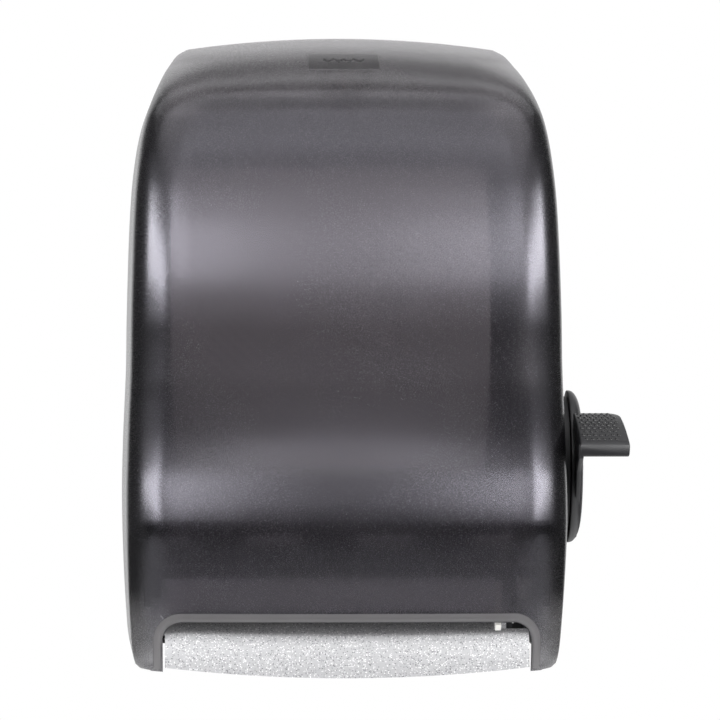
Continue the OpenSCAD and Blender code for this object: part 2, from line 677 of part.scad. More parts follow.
module pinch_springs() {
    color("silver") for (x0 = [-cheek_x, right_in]) at_pinch()
        translate([x0 + cheek_t / 2, -block_l / 2 - spring_l, 0]) rotate([-90, 0, 0])
            cylinder(h = spring_l, r = cheek_t / 2 - 0.2, $fn = fn);
}

// ---- feed roller and pinch roller ----
module feed_shaft() {
    color("silver") xbar(-cheek_x - 3, cheek_x + 3 + cover_plate_x - 2, feed_shaft_r, feed_y, feed_z);
}
module feed_clip() {
    color("silver") difference() {
        xbar(-cheek_x - 2, 1.2, feed_shaft_r + 3, feed_y, feed_z);
        xbar(-cheek_x - 3, 4, feed_shaft_r + seat_gap, feed_y, feed_z);
    }
}
module feed_core() {
    color("gray") difference() {
        xbar(left_in + 5, right_in - left_in - 10, drum_r, feed_y, feed_z);
        xbar(left_in, right_in - left_in, feed_shaft_r + seat_gap, feed_y, feed_z);
    }
}
module feed_sleeves() {
    color("black") for (i = [-1, 0, 1]) difference() {
        xbar(-roll_left + i * sleeve_step - sleeve_w / 2, sleeve_w, feed_r, feed_y, feed_z);
        xbar(-roll_left + i * sleeve_step - sleeve_w, 2 * sleeve_w, drum_r + seat_gap, feed_y, feed_z);
    }
}
module pinch_shaft() {
    color("silver") xbar(-cheek_x, cheek_x + right_out, pinch_shaft_r, pinch_y, pinch_z);
}
module pinch_rolls() {
    color("dimgray") for (i = [-1, 0, 1]) difference() {
        xbar(-roll_left + i * sleeve_step - sleeve_w / 2 + 2, sleeve_w - 4, pinch_r, pinch_y, pinch_z);
        xbar(-roll_left + i * sleeve_step - sleeve_w, 2 * sleeve_w, pinch_shaft_r + seat_gap, pinch_y, pinch_z);
    }
}

// ---- gears ----
pressure = 20;
function involute(a) = tan(a) * 180 / PI - a;
// Half of a tooth's angle at radius r
function tooth_half(r, pitch, teeth) =
    let (base = pitch * cos(pressure), a = r > base ? acos(base / r) : 0)
    90 / teeth - tooth_gap / 2 / pitch * 180 / PI + involute(pressure) - involute(a);
module tooth(teeth) {
    pitch = gear_m * teeth / 2;
    root = pitch - 1.25 * gear_m;
    tip = pitch + 0.92 * gear_m;
    radii = [root - 0.5, for (i = [0 : 4]) max(root, pitch * cos(pressure)) * (1 - i / 4) + tip * i / 4];
    polygon([
        for (r = radii) let (a = tooth_half(r, pitch, teeth)) [r * cos(a), r * sin(a)],
        for (i = [len(radii) - 1 : -1 : 0])
            let (r = radii[i], a = tooth_half(r, pitch, teeth)) [r * cos(a), -r * sin(a)]
    ]);
}
// The sector's teeth are counted from the one that points at the idler
sector_up = 10;
sector_down = 2;
module drive_sector() {
    step = 360 / sector_teeth;
    root = gear_m * sector_teeth / 2 - 1.25 * gear_m;
    a0 = -(sector_up + 0.8) * step;
    a1 = (sector_down + 0.8) * step;
    color("gainsboro") translate([0, lever_y, lever_z]) difference() {
        union() {
            yz(gear_x, gear_w) rotate(180 + idler_angle) {
                for (i = [-sector_up : sector_down]) rotate(i * step) tooth(sector_teeth);
                difference() {
                    polygon(concat([[0, 0]], [for (i = [0 : 24])
                        let (a = a0 + (a1 - a0) * i / 24) [root * cos(a), root * sin(a)]]));
                    // window between the hub and the toothed rim
                    polygon(concat(
                        [for (i = [0 : 12]) let (a = a0 + 8 + (a1 - a0 - 16) * i / 12)
                            (root - 9) * [cos(a), sin(a)]],
                        [for (i = [12 : -1 : 0]) let (a = a0 + 14 + (a1 - a0 - 28) * i / 12)
                            22 * [cos(a), sin(a)]]
                    ));
                }
            }
            xbar(gear_x, gear_w, lever_shaft_r + 7, 0, 0);
        }
        xbar(gear_x - 1, gear_w + 2, lever_shaft_r + seat_gap, 0, 0);
    }
}
// Toothed wheel on the X axis, with a tooth at the given angle
module wheel(teeth, angle) {
    root = gear_m * teeth / 2 - 1.25 * gear_m;
    yz(gear_x, gear_w) rotate(angle) for (i = [0 : teeth - 1]) rotate(i * 360 / teeth) tooth(teeth);
    xbar(gear_x, gear_w, root, 0, 0);
    xbar(gear_x - 2, gear_w + 3, root - 4, 0, 0);
}
// A gap of the idler faces the sector's middle tooth
idler_phase = idler_angle + 180 / idler_teeth;
module idler_gear() {
    color("gainsboro") translate([0, idler_y, idler_z]) difference() {
        wheel(idler_teeth, idler_phase);
        xbar(gear_x - 3, gear_w + 5, idler_pin_r + run_gap, 0, 0);
    }
}
module idler_pin() {
    color("silver") xbar(right_in + 0.5, cheek_x - right_in - 1, idler_pin_r, idler_y, idler_z);
}
// The pinion's phase follows from where the idler's teeth stand on the line between them
module pinion() {
    to_feed = 180 - feed_angle;
    offset_angle = idler_phase - to_feed;
    phase = to_feed + 180 - offset_angle * idler_teeth / pinion_teeth + 180 / pinion_teeth;
    color("gainsboro") translate([0, feed_y, feed_z]) difference() {
        wheel(pinion_teeth, phase);
        xbar(gear_x - 3, gear_w + 5, feed_shaft_r + seat_gap, 0, 0);
    }
}

// ---- lever ----
hub_edge = 3.5;                                // rounding of the hub's rim
paddle_rear_z = lever_z + 35.6;                // top of the paddle at its rear edge
paddle_drop = 18.4;                            // how far its top falls towards the front
paddle_crown = 2.5;
paddle_rear_y = lever_y - 48;
paddle_front_y = paddle_rear_y - paddle_l;
function paddle_top(s) = [
    paddle_rear_y - paddle_l * s, paddle_rear_z - paddle_drop * s + 4 * paddle_crown * s * (1 - s)
];
module paddle_section() {
    edge = 1.6;
    front_z = paddle_rear_z - paddle_drop;
    polygon(concat(
        [for (i = [0 : 11]) paddle_top(i / 12)],
        [for (a = [15 : 25 : 90]) [paddle_front_y + edge - edge * sin(a), front_z - edge + edge * cos(a)]],
        [for (a = [0 : 30 : 90]) [paddle_front_y + 3 - 3 * cos(a), front_z - paddle_t + 3 - 3 * sin(a)]],
        [[paddle_rear_y - 24, paddle_rear_z - 20], [paddle_rear_y - 1, paddle_rear_z - 8]]
    ));
}
module lever() {
    color([0.12, 0.12, 0.13]) difference() {
        union() {
            translate([lever_x, lever_y, lever_z]) rotate([0, 90, 0]) rotate_extrude($fn = 96)
                polygon(concat([[0, 0], [hub_r, 0]],
                    [for (a = [0 : 15 : 90])
                        [hub_r - hub_edge + hub_edge * cos(a), hub_t - hub_edge + hub_edge * sin(a)]],
                    [[hub_r - 9, hub_t], [hub_r - 12, hub_t - 1.5], [14, hub_t - 1.5], [12, hub_t], [0, hub_t]]));
            // arm from the hub to the paddle
            yz(lever_x + 0.4, hub_t - 0.4) polygon([
                [lever_y - 20, lever_z + 44], [paddle_rear_y + 1, paddle_rear_z - 3],
                paddle_top(0.1) - [0, 1], paddle_top(0.9) - [0, 2],
                [paddle_front_y + 5, paddle_rear_z - paddle_drop - paddle_t + 1],
                [paddle_rear_y - 26, paddle_rear_z - 24], [paddle_rear_y - 4, lever_z - 12],
                [lever_y - 38, lever_z - 30]
            ]);
            yz(lever_x + 0.4, paddle_w - 0.4) paddle_section();
        }
        xbar(lever_x - 1, 4.5, lever_shaft_r + seat_gap, lever_y, lever_z);
        xbar(lever_x, 20, screw_r, lever_y, lever_z);
    }
}
module lever_shaft() {
    color("silver") difference() {
        xbar(right_in - 2, lever_x + 3 - right_in + 2, lever_shaft_r, lever_y, lever_z);
        xbar(lever_x - 8, 12, screw_r, lever_y, lever_z);
    }
}
module lever_screw() {
    color("silver") xscrew(lever_x + hub_t, hub_t + 6, lever_y, lever_z, 1);
}
// Torsion spring that lifts the lever, in the cavity of the gear cover's boss
module lever_spring() {
    color("silver") difference() {
        xbar(cheek_x + 3, boss_x1 - cheek_x - 5, lever_shaft_r + 11, lever_y, lever_z);
        xbar(cheek_x, 30, lever_shaft_r + 8, lever_y, lever_z);
    }
}
// Rubber stop above the sector, which sets the lever's rest
module lever_stop() {
    a = 180 + idler_angle - (sector_up + 0.8) * 360 / sector_teeth;
    color("black") translate([right_out, lever_y, lever_z]) rotate([a, 0, 0])
        translate([0, 30, -8.4]) cube([gear_space - 3, 12, 8]);
}

// ---- cover ----
lug_x = cheek_x + hinge_boss_l + side_gap;
lug_end_x = cover_half_w - cover_wall - 4;
lug_w = lug_end_x - lug_x;
lug_r = 10;
lug_floor = 1;                                 // solid end behind the pin's bore
module hinge_lugs() {
    color([0.25, 0.25, 0.28]) for (s = [-1, 1]) difference() {
        xbar(s > 0 ? lug_x : -lug_end_x, lug_w, lug_r, hinge_y, hinge_z);
        xbar(s > 0 ? lug_x - 1 : -lug_end_x + lug_floor, lug_w + 1 - lug_floor, hinge_pin_r + run_gap,
             hinge_y, hinge_z);
    }
}
// Room for the lever hub when the cover swings down: a band about the hinge axis
module lever_notch() {
    dy = lever_y - hinge_y;
    dz = lever_z - hinge_z;
    reach = norm([dy, dz]);
    r = hub_r + lever_gap;
    xbar(arch_half_w, 60, r, lever_y, lever_z);
    translate([arch_half_w, hinge_y, hinge_z]) rotate([90, 0, 90]) rotate_extrude(angle = atan2(dz, dy), $fn = 96)
        translate([reach - r, 0]) square([2 * r, 60]);
}
module arch_cut() {
    top = bottom_z + arch_h;
    xz(-overall_d / 3, overall_d) {
        translate([-arch_half_w, bottom_z - 10]) square([2 * arch_half_w, 10 + arch_h - arch_r]);
        translate([-arch_half_w + arch_r, bottom_z]) square([2 * (arch_half_w - arch_r), arch_h]);
        for (s = [-1, 1]) translate([s * (arch_half_w - arch_r), top - arch_r]) circle(r = arch_r, $fn = fn);
    }
}
// Wavy key slot, as wide as the key that opens the cover
slot_w = 27;
slot_amp = 2;
slot_gap = 1.1;
module key_slot() {
    wave = [for (i = [0 : 36]) let (x = -slot_w / 2 + slot_w * i / 36) [x, slot_amp * cos(i * 30)]];
    linear_extrude(30, center = true) polygon(concat(
        [for (p = wave) p + [0, slot_gap]], [for (i = [36 : -1 : 0]) wave[i] - [0, slot_gap]]));
}
module cover_shell() {
    color([0.3, 0.3, 0.33]) difference() {
        cover_form(0, 0, 0);
        cover_form(cover_wall, 2, cover_wall);
        arch_cut();
        lever_notch();
        // the lower rear corners are round about the hinge axis, so that they clear the wall
        difference() {
            translate([-200, hinge_y, cover_low - 10]) cube([400, 60, hinge_z - cover_low + 10]);
            xbar(-201, 402, hinge_out - 0.5, hinge_y, hinge_z);
        }
        // seats of the hinge lugs
        for (s = [-1, 1])
            xbar(s > 0 ? lug_x - 1 : -lug_end_x, lug_w + 1, lug_r + seat_gap, hinge_y, hinge_z);
        at_lock() {
            key_slot();
            translate([-lock_half_w - 1, -lock_half_l - 1, -0.6]) cube([2 * lock_half_w + 2, 2 * lock_half_l + 2, 20]);
            translate([-lock_half_w, -lock_half_l, -20]) cube([2 * lock_half_w, 2 * lock_half_l, 20 - lock_seat]);
        }
    }
}
lock_seat = 3.2;
module lock_plate() {
    color([0.05, 0.05, 0.05]) at_lock() difference() {
        translate([-lock_half_w + seat_gap, -lock_half_l + seat_gap, -lock_seat - lock_t])
            cube([2 * (lock_half_w - seat_gap), 2 * (lock_half_l - seat_gap), lock_t]);
        key_slot();
    }
}
keeper_l = 5;
keeper_h = 6.4;
module keeper() {
    color([0.05, 0.05, 0.05]) at_lock()
        translate([-16, -10 - keeper_l / 2, -lock_seat - lock_t - keeper_h]) cube([32, keeper_l, keeper_h]);
}
// Flexible tongue on the back plate; its hook stands in front of the keeper
latch_base_z = plate_top - 30;
latch_screw_z = latch_base_z + 13;
tongue_z = level_on_top(lock_out) - 17;
hook_out = lock_out + 14;
module latch_tongue() {
    color("ivory") difference() {
        union() {
            translate([-14, -plate_t - 3, latch_base_z]) cube([28, 3, 22]);
            yz(-12, 24) polygon([
                [-plate_t - 1, latch_base_z], [-hook_out - 4, tongue_z - 3],
                [-hook_out - 4, tongue_z + 3], [-hook_out, tongue_z + 6], [-hook_out, tongue_z],
                [-plate_t - 1, latch_base_z + 4]
            ]);
        }
        for (x = [-8, 8]) ybar(0, 12, screw_r, x, latch_screw_z);
    }
}
module latch_screws() {
    color("silver") for (x = [-8, 8]) yscrew(-plate_t - 3, plate_t + 2.5, x, latch_screw_z);
}

// ---- paper ----
module towel_roll() {
    color("white") difference() {
        xbar(roll_x0, roll_w, roll_d / 2, roll_y, roll_z);
        xbar(roll_x0 - 1, roll_w + 2, core_r + core_t + seat_gap, roll_y, roll_z);
    }
}
module roll_core() {
    color("tan") difference() {
        xbar(roll_x0, roll_w, core_r + core_t, roll_y, roll_z);
        xbar(roll_x0 - 1, roll_w + 2, core_r, roll_y, roll_z);
    }
}

back_plate();
left_cheek();
right_cheek();
gear_cover();
cheek_screws();
gear_cover_screws();
front_crossbar();
crossbar_screws();
tear_bar();
tear_bar_screws();
paper_guide();
chute();
chute_screws();
left_roll_arm();
roll_arm_screws();
left_hub();
arm_pin();
arm_spring();
feed_bushes();
lever_bushes();
pinch_blocks();
pinch_springs();
hinge_pins();
latch_tongue();
latch_screws();
lever_stop();
lever_spring();
cover_shell();
hinge_lugs();
lock_plate();
keeper();
lever();
lever_shaft();
drive_sector();
lever_screw();
idler_gear();
idler_pin();
feed_shaft();
feed_core();
feed_sleeves();
pinion();
feed_clip();
pinch_shaft();
pinch_rolls();
towel_roll();
roll_core();
right_roll_arm();
right_hub();
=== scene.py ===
import json
import math

import bpy
import bmesh
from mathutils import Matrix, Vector


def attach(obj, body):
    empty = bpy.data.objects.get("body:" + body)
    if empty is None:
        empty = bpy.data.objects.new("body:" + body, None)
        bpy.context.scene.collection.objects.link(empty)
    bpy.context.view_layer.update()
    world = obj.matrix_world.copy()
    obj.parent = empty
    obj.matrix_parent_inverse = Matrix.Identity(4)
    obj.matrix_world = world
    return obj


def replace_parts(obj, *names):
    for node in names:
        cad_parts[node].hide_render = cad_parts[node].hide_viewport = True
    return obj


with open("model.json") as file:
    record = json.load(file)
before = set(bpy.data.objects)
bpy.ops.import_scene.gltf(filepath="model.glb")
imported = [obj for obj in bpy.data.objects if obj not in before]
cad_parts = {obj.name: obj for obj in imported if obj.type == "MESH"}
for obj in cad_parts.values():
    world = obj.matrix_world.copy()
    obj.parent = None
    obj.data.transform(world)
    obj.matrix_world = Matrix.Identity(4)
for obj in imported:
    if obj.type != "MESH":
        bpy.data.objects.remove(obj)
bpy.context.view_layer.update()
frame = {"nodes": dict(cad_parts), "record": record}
nodes = frame["nodes"]
mm = 0.001
print("frame loaded,", len(nodes), "nodes")


class Wire:
    # a socket of a node tree; maths on it adds the nodes

    def __init__(self, finish, socket):
        self.finish = finish
        self.socket = socket

    def math(self, operation, *values):
        return self.finish.node("ShaderNodeMath", {"operation": operation}, dict(enumerate(values)))

    def __add__(self, other):
        return self.math("ADD", self, other)

    def __radd__(self, other):
        return self.math("ADD", other, self)

    def __sub__(self, other):
        return self.math("SUBTRACT", self, other)

    def __rsub__(self, other):
        return self.math("SUBTRACT", other, self)

    def __mul__(self, other):
        return self.math("MULTIPLY", self, other)

    def __rmul__(self, other):
        return self.math("MULTIPLY", other, self)

    def __pow__(self, other):
        return self.math("POWER", self, other)

    def sine(self):
        return self.math("SINE", self)

    def size(self):
        return self.math("ABSOLUTE", self)

    def over(self, limit):
        return self.math("GREATER_THAN", self, limit)

    def largest(self, other):
        return self.math("MAXIMUM", self, other)

    def ease(self, low, high, start=0.0, end=1.0):
        # smooth step from start to end while the value goes from low to high
        return self.finish.node("ShaderNodeMapRange", {"interpolation_type": "SMOOTHSTEP"},
                                {"Value": self, "From Min": low, "From Max": high,
                                 "To Min": start, "To Max": end})


class Finish:
    # one procedural material; node() makes any node from its type, settings and inputs

    def __init__(self, name, tree=None):
        if tree is None:
            self.material = bpy.data.materials.new(name)
            self.material.use_nodes = True
            tree = self.material.node_tree
        self.tree = tree
        self.tree.nodes.clear()

    def node(self, kind, settings=None, inputs=None, output=0):
        made = self.tree.nodes.new(kind)
        for key, value in (settings or {}).items():
            setattr(made, key, value)
        for key, value in (inputs or {}).items():
            if isinstance(value, Wire):
                self.tree.links.new(value.socket, made.inputs[key])
            elif isinstance(value, (tuple, list)) and made.inputs[key].type == "RGBA" and len(value) == 3:
                made.inputs[key].default_value = (*value, 1)
            else:
                made.inputs[key].default_value = value
        return Wire(self, made.outputs[output]) if len(made.outputs) else None

    def place(self):
        return self.node("ShaderNodeTexCoord", output="Object")

    def stretched(self, scale):
        return self.node("ShaderNodeMapping", {}, {"Vector": self.place(), "Scale": scale})

    def axis(self, name, vector=None):
        return self.node("ShaderNodeSeparateXYZ", {}, {"Vector": vector or self.place()}, output=name)

    def noise(self, scale, detail=3.0, vector=None, roughness=0.5, distortion=0.0):
        return self.node("ShaderNodeTexNoise", {}, {
            "Vector": vector or self.place(), "Scale": scale, "Detail": detail,
            "Roughness": roughness, "Distortion": distortion})

    def cells(self, scale, output="Distance"):
        return self.node("ShaderNodeTexVoronoi", {"feature": "F1"},
                         {"Vector": self.place(), "Scale": scale}, output=output)

    def blend(self, amount, first, second):
        return self.node("ShaderNodeMix", {"data_type": "RGBA", "blend_type": "MIX"},
                         {0: amount, 6: first, 7: second}, output=2)

    def bump(self, height, strength, distance):
        return self.node("ShaderNodeBump", {}, {"Height": height, "Strength": strength, "Distance": distance})

    def surface(self, **sockets):
        names = {"colour": "Base Color", "rough": "Roughness", "metal": "Metallic", "normal": "Normal",
                 "ior": "IOR", "gleam": "Specular Tint", "transmission": "Transmission Weight",
                 "sheen": "Sheen Weight", "sheenRough": "Sheen Roughness",
                 "under": "Subsurface Weight", "underRadius": "Subsurface Radius",
                 "underScale": "Subsurface Scale"}
        return self.node("ShaderNodeBsdfPrincipled", {}, {names[k]: v for k, v in sockets.items()})

    def end(self, shader):
        self.node("ShaderNodeOutputMaterial", {}, {"Surface": shader})
        return self.material


smoke = {
    "tint": (0.252, 0.238, 0.256),     # what one wall lets through
    "deep": (0.050, 0.049, 0.052),     # the same, darker on the sides: painted shade
    "legs": (0.420, 0.415, 0.425),     # and at the legs beside the arch
    "gleam": (0.90, 0.875, 1.0),       # cool tone of its reflections
    "dust": (0.85, 0.85, 0.86),
    "rough": 0.26,
    "grain": 2300,                     # fine satin grain, per metre
    "ior": 1.56,
    "share": 0.985,                    # of the light that isn't reflected, what passes on
    # the rim's tones, paler than the cover: painted light on its edge
    "rimPale": (0.40, 0.39, 0.40), "rimDark": (0.30, 0.29, 0.30),
}


def smokeFinish():
    f = Finish("smokePlastic")
    grain = f.noise(smoke["grain"], 2.0)
    patches = f.noise(9.0, 2.0)
    specks = f.cells(210.0)
    dust = 1 - specks.ease(0.035, 0.06)
    keep = f.noise(38.0, 1.0).ease(0.60, 0.66)
    across, height = f.axis("X").size(), f.axis("Z")
    # painted shade: the sides get a darker tint, and the legs below them a lighter one
    thick = across.ease(0.108, 0.124) * height.ease(-0.190, -0.150)
    foot = across.ease(0.104, 0.122) * height.ease(-0.185, -0.150, 1.0, 0.0)
    tint = f.blend(foot, f.blend(thick, smoke["tint"], smoke["deep"]), smoke["legs"])
    return f.end(f.surface(
        colour=f.blend(dust * keep * 0.65, tint, smoke["dust"]),
        rough=smoke["rough"] + (grain - 0.5) * 0.10 + (patches - 0.5) * 0.05,
        normal=f.bump(grain, 0.05, 0.04 * mm),
        ior=smoke["ior"], gleam=smoke["gleam"], transmission=smoke["share"]))


# the rim's pale tones are painted light: they stand in for the light its edge catches
def smokeRimFinish():
    f = Finish("smokeRim")
    grain = f.noise(smoke["grain"], 2.0)
    cloud = f.noise(24.0, 2.0)
    tone = f.blend(cloud, smoke["rimDark"], smoke["rimPale"])
    return f.end(f.surface(colour=tone, rough=0.30 + (grain - 0.5) * 0.10,
                           normal=f.bump(grain, 0.1, 0.05 * mm), ior=smoke["ior"], transmission=0.72))


def blackFinish(name="blackPlastic", colour=(0.018, 0.018, 0.020), rough=0.38):
    f = Finish(name)
    grain = f.noise(1400.0, 2.0)
    worn = f.noise(60.0, 3.0).ease(0.5, 0.75)
    tone = f.blend(worn * 0.35, colour, tuple(c * 1.7 for c in colour))
    return f.end(f.surface(colour=tone, rough=rough + (grain - 0.5) * 0.16 + worn * 0.05,
                           normal=f.bump(grain, 0.22, 0.08 * mm), ior=1.5))


def chassisFinish():
    f = Finish("chassisPlastic")
    grain = f.noise(1100.0, 3.0)
    flow = f.noise(22.0, 3.0, distortion=0.6)
    tone = f.blend(flow, (0.012, 0.012, 0.014), (0.022, 0.022, 0.024))
    return f.end(f.surface(colour=tone, rough=0.52 + (grain - 0.5) * 0.14,
                           normal=f.bump(grain, 0.25, 0.1 * mm), ior=1.5))


granite = {
    "base": (0.44, 0.44, 0.452),
    "dark": (0.10, 0.10, 0.11),
    "pale": (0.84, 0.84, 0.84),
    "grey": (0.34, 0.34, 0.35),
}


def graniteFinish():
    f = Finish("granitePlastic")
    small = f.cells(1150.0, output="Color")
    large = f.cells(620.0, output="Color")
    pickSmall = f.node("ShaderNodeSeparateColor", {}, {"Color": small})
    pickLarge = f.node("ShaderNodeSeparateColor", {}, {"Color": large})
    coreSmall = 1 - f.cells(1150.0).ease(0.28, 0.50)
    coreLarge = 1 - f.cells(620.0).ease(0.26, 0.44)
    tone = f.blend(pickLarge.over(0.72) * coreLarge, granite["base"], granite["grey"])
    tone = f.blend((1 - pickSmall).over(0.70) * coreSmall, tone, granite["pale"])
    tone = f.blend(pickSmall.over(0.80) * coreSmall, tone, granite["dark"])
    fine = f.noise(1600.0, 2.0)
    return f.end(f.surface(colour=tone, rough=0.42 + (fine - 0.5) * 0.12,
                           normal=f.bump(fine, 0.12, 0.05 * mm), ior=1.48))


def acetalFinish():
    f = Finish("whiteAcetal")
    cloud = f.noise(35.0, 2.0)
    tone = f.blend(cloud, (0.78, 0.77, 0.73), (0.86, 0.85, 0.82))
    fine = f.noise(900.0, 2.0)
    return f.end(f.surface(colour=tone, rough=0.34 + (fine - 0.5) * 0.08,
                           normal=f.bump(fine, 0.1, 0.05 * mm), ior=1.48,
                           under=0.15, underRadius=(1.0, 0.9, 0.8), underScale=1.5 * mm))


def steelFinish():
    f = Finish("plainSteel")
    drawn = f.noise(260.0, 4.0, f.stretched((0.06, 1.0, 1.0)))
    stain = f.noise(45.0, 3.0).ease(0.45, 0.8)
    tone = f.blend(stain * 0.5, (0.60, 0.60, 0.61), (0.46, 0.45, 0.44))
    return f.end(f.surface(colour=tone, metal=1.0, rough=0.26 + drawn * 0.16 + stain * 0.08,
                           normal=f.bump(drawn, 0.10, 0.05 * mm)))


def rubberFinish():
    f = Finish("blackRubber")
    fine = f.noise(750.0, 4.0)
    bloom = f.noise(50.0, 3.0).ease(0.5, 0.8)
    tone = f.blend(bloom * 0.6, (0.016, 0.016, 0.016), (0.040, 0.040, 0.039))
    return f.end(f.surface(colour=tone, rough=0.74 + (fine - 0.5) * 0.16,
                           normal=f.bump(fine, 0.35, 0.12 * mm), ior=1.5))


paper = {"layer": 0.35, "loose": 3.1, "emboss": 9.0}      # mm between turns, slack turns and dimples
roll = {"x0": -112.0, "x1": 91.0, "radius": 100.0, "bore": 22.02, "y": -105.5, "z": 18.0, "edge": 1.6,
        "endFrom": 205, "endSpan": 34}      # the loose end, in degrees


def paperFinish():
    f = Finish("towelPaper")
    y, z = f.axis("Y") - roll["y"] * mm, f.axis("Z") - roll["z"] * mm
    radius = (y * y + z * z) ** 0.5
    turns = (radius * (2 * math.pi / (paper["layer"] * mm))).sine()
    slow = (radius * (2 * math.pi / (paper["loose"] * mm)) + f.noise(30.0, 2.0) * 3.0).sine()
    face = f.axis("X", f.node("ShaderNodeNewGeometry", output="Normal")).size().ease(0.6, 0.9)
    angle = f.node("ShaderNodeMath", {"operation": "ARCTAN2"}, {0: z, 1: y})
    across = f.axis("X") * (2 * math.pi / (paper["emboss"] * mm))
    along = angle * (roll["radius"] / paper["emboss"] * 2 * math.pi)
    dimples = (across.sine() * (along + 1.57).sine()).ease(-0.2, 0.9)
    fibre = f.noise(1900.0, 4.0, roughness=0.7)
    tone = f.blend(fibre, (0.82, 0.80, 0.76), (0.90, 0.89, 0.86))
    tone = f.blend(face * (0.5 - 0.5 * turns) * 0.35, tone, (0.62, 0.59, 0.53))
    height = (1 - face) * dimples * 0.8 + face * (turns * 0.25 + slow * 0.6) + fibre * 0.15
    return f.end(f.surface(colour=tone, rough=0.88, normal=f.bump(height, 0.7, 0.35 * mm),
                           sheen=0.12, sheenRough=0.5))


def cardFinish():
    f = Finish("brownCard")
    fibre = f.noise(700.0, 5.0, f.stretched((0.3, 1.0, 1.0)), roughness=0.65)
    tone = f.blend(fibre, (0.36, 0.25, 0.16), (0.52, 0.39, 0.26))
    return f.end(f.surface(colour=tone, rough=0.86, normal=f.bump(fibre, 0.4, 0.15 * mm)))


finishes = {
    "cover_smoke": smokeFinish(),
    "smokeRim": smokeRimFinish(),
    "black_plastic": blackFinish(),
    # the dots' black is darker than the paddle's: painted shade for their dark look; their gloss is their own
    "gloss": blackFinish("glossBlackPaintedShade", (0.010, 0.010, 0.011), 0.20),
    "chassis_plastic": chassisFinish(),
    "granite_plastic": graniteFinish(),
    "white_plastic": acetalFinish(),
    "steel": steelFinish(),
    "rubber": rubberFinish(),
    "paper": paperFinish(),
    "cardboard": cardFinish(),
}
print("finishes made:", len(finishes))


def newPiece(name, mesh, finish, body, sharpAt):
    piece = bpy.data.objects.new(name, mesh)
    bpy.context.scene.collection.objects.link(piece)
    mesh.materials.clear()
    mesh.materials.append(finishes[finish])
    softEdges(mesh, sharpAt)
    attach(piece, body)
    return piece


def softEdges(mesh, sharpAt):
    # smooth shading, with edges sharper than the angle kept crisp
    work = bmesh.new()
    work.from_mesh(mesh)
    limit = math.radians(sharpAt)
    for edge in work.edges:
        edge.smooth = len(edge.link_faces) != 2 or edge.calc_face_angle(0) < limit
    for face in work.faces:
        face.smooth = True
    work.to_mesh(mesh)
    work.free()


def roundEdges(piece, width, segments, angle):
    bevel = piece.modifiers.new("edges", "BEVEL")
    bevel.width = width * mm
    bevel.segments = segments
    bevel.limit_method = "ANGLE"
    bevel.angle_limit = math.radians(angle)


def meshFrom(name, points, faces):
    mesh = bpy.data.meshes.new(name)
    mesh.from_pydata([Vector(p) * mm for p in points], [], faces)
    mesh.validate()
    work = bmesh.new()
    work.from_mesh(mesh)
    bmesh.ops.recalc_face_normals(work, faces=work.faces)
    work.to_mesh(mesh)
    work.free()
    return mesh


def skin(rings, closedPath=False):
    # faces between closed rings of equal length
    count = len(rings[0])
    faces = []
    for i in range(len(rings) if closedPath else len(rings) - 1):
        here, there = i * count, (i + 1) % len(rings) * count
        for j in range(count):
            k = (j + 1) % count
            faces.append((here + j, here + k, there + k, there + j))
    return [p for ring in rings for p in ring], faces


def capped(rings):
    # the same with a face on its first and its last ring
    points, faces = skin(rings)
    count, last = len(rings[0]), len(points) - 1
    return points, faces + [tuple(range(count)), tuple(range(last, last - count, -1))]


def lathe(profile, centreY, centreZ, steps):
    # profile of (x, radius) turned about an axis along X
    rings = []
    for i in range(steps):
        a = 2 * math.pi * i / steps
        rings.append([(x, centreY + r * math.cos(a), centreZ + r * math.sin(a)) for x, r in profile])
    return skin(rings, closedPath=True)


def prism(outline, x0, x1):
    # outline of (y, z) pushed out along X
    count = len(outline)
    points = [(x0, y, z) for y, z in outline] + [(x1, y, z) for y, z in outline]
    faces = [tuple(range(count)), tuple(range(2 * count - 1, count - 1, -1))]
    faces += [(i, (i + 1) % count, count + (i + 1) % count, count + i) for i in range(count)]
    return points, faces


def looseObject(name, points, faces):
    loose = bpy.data.objects.new(name, meshFrom(name, points, faces))
    bpy.context.scene.collection.objects.link(loose)
    return loose


def carved(target, cutters):
    # the target's mesh less every cutter
    for cutter in cutters:
        cut = target.modifiers.new("cut", "BOOLEAN")
        cut.object = cutter
        cut.operation = "DIFFERENCE"
        cut.solver = "EXACT"
    bpy.context.view_layer.update()
    graph = bpy.context.evaluated_depsgraph_get()
    mesh = bpy.data.meshes.new_from_object(target.evaluated_get(graph))
    for loose in [target] + cutters:
        bpy.data.objects.remove(loose)
    return mesh


# the shallow line under the top face: its height, and how it turns down from a place on its way out
ridge = {"z": 161.0, "from": 105.0, "span": 31.0, "fall": 50.0, "sink": 0.6, "width": 3.2}
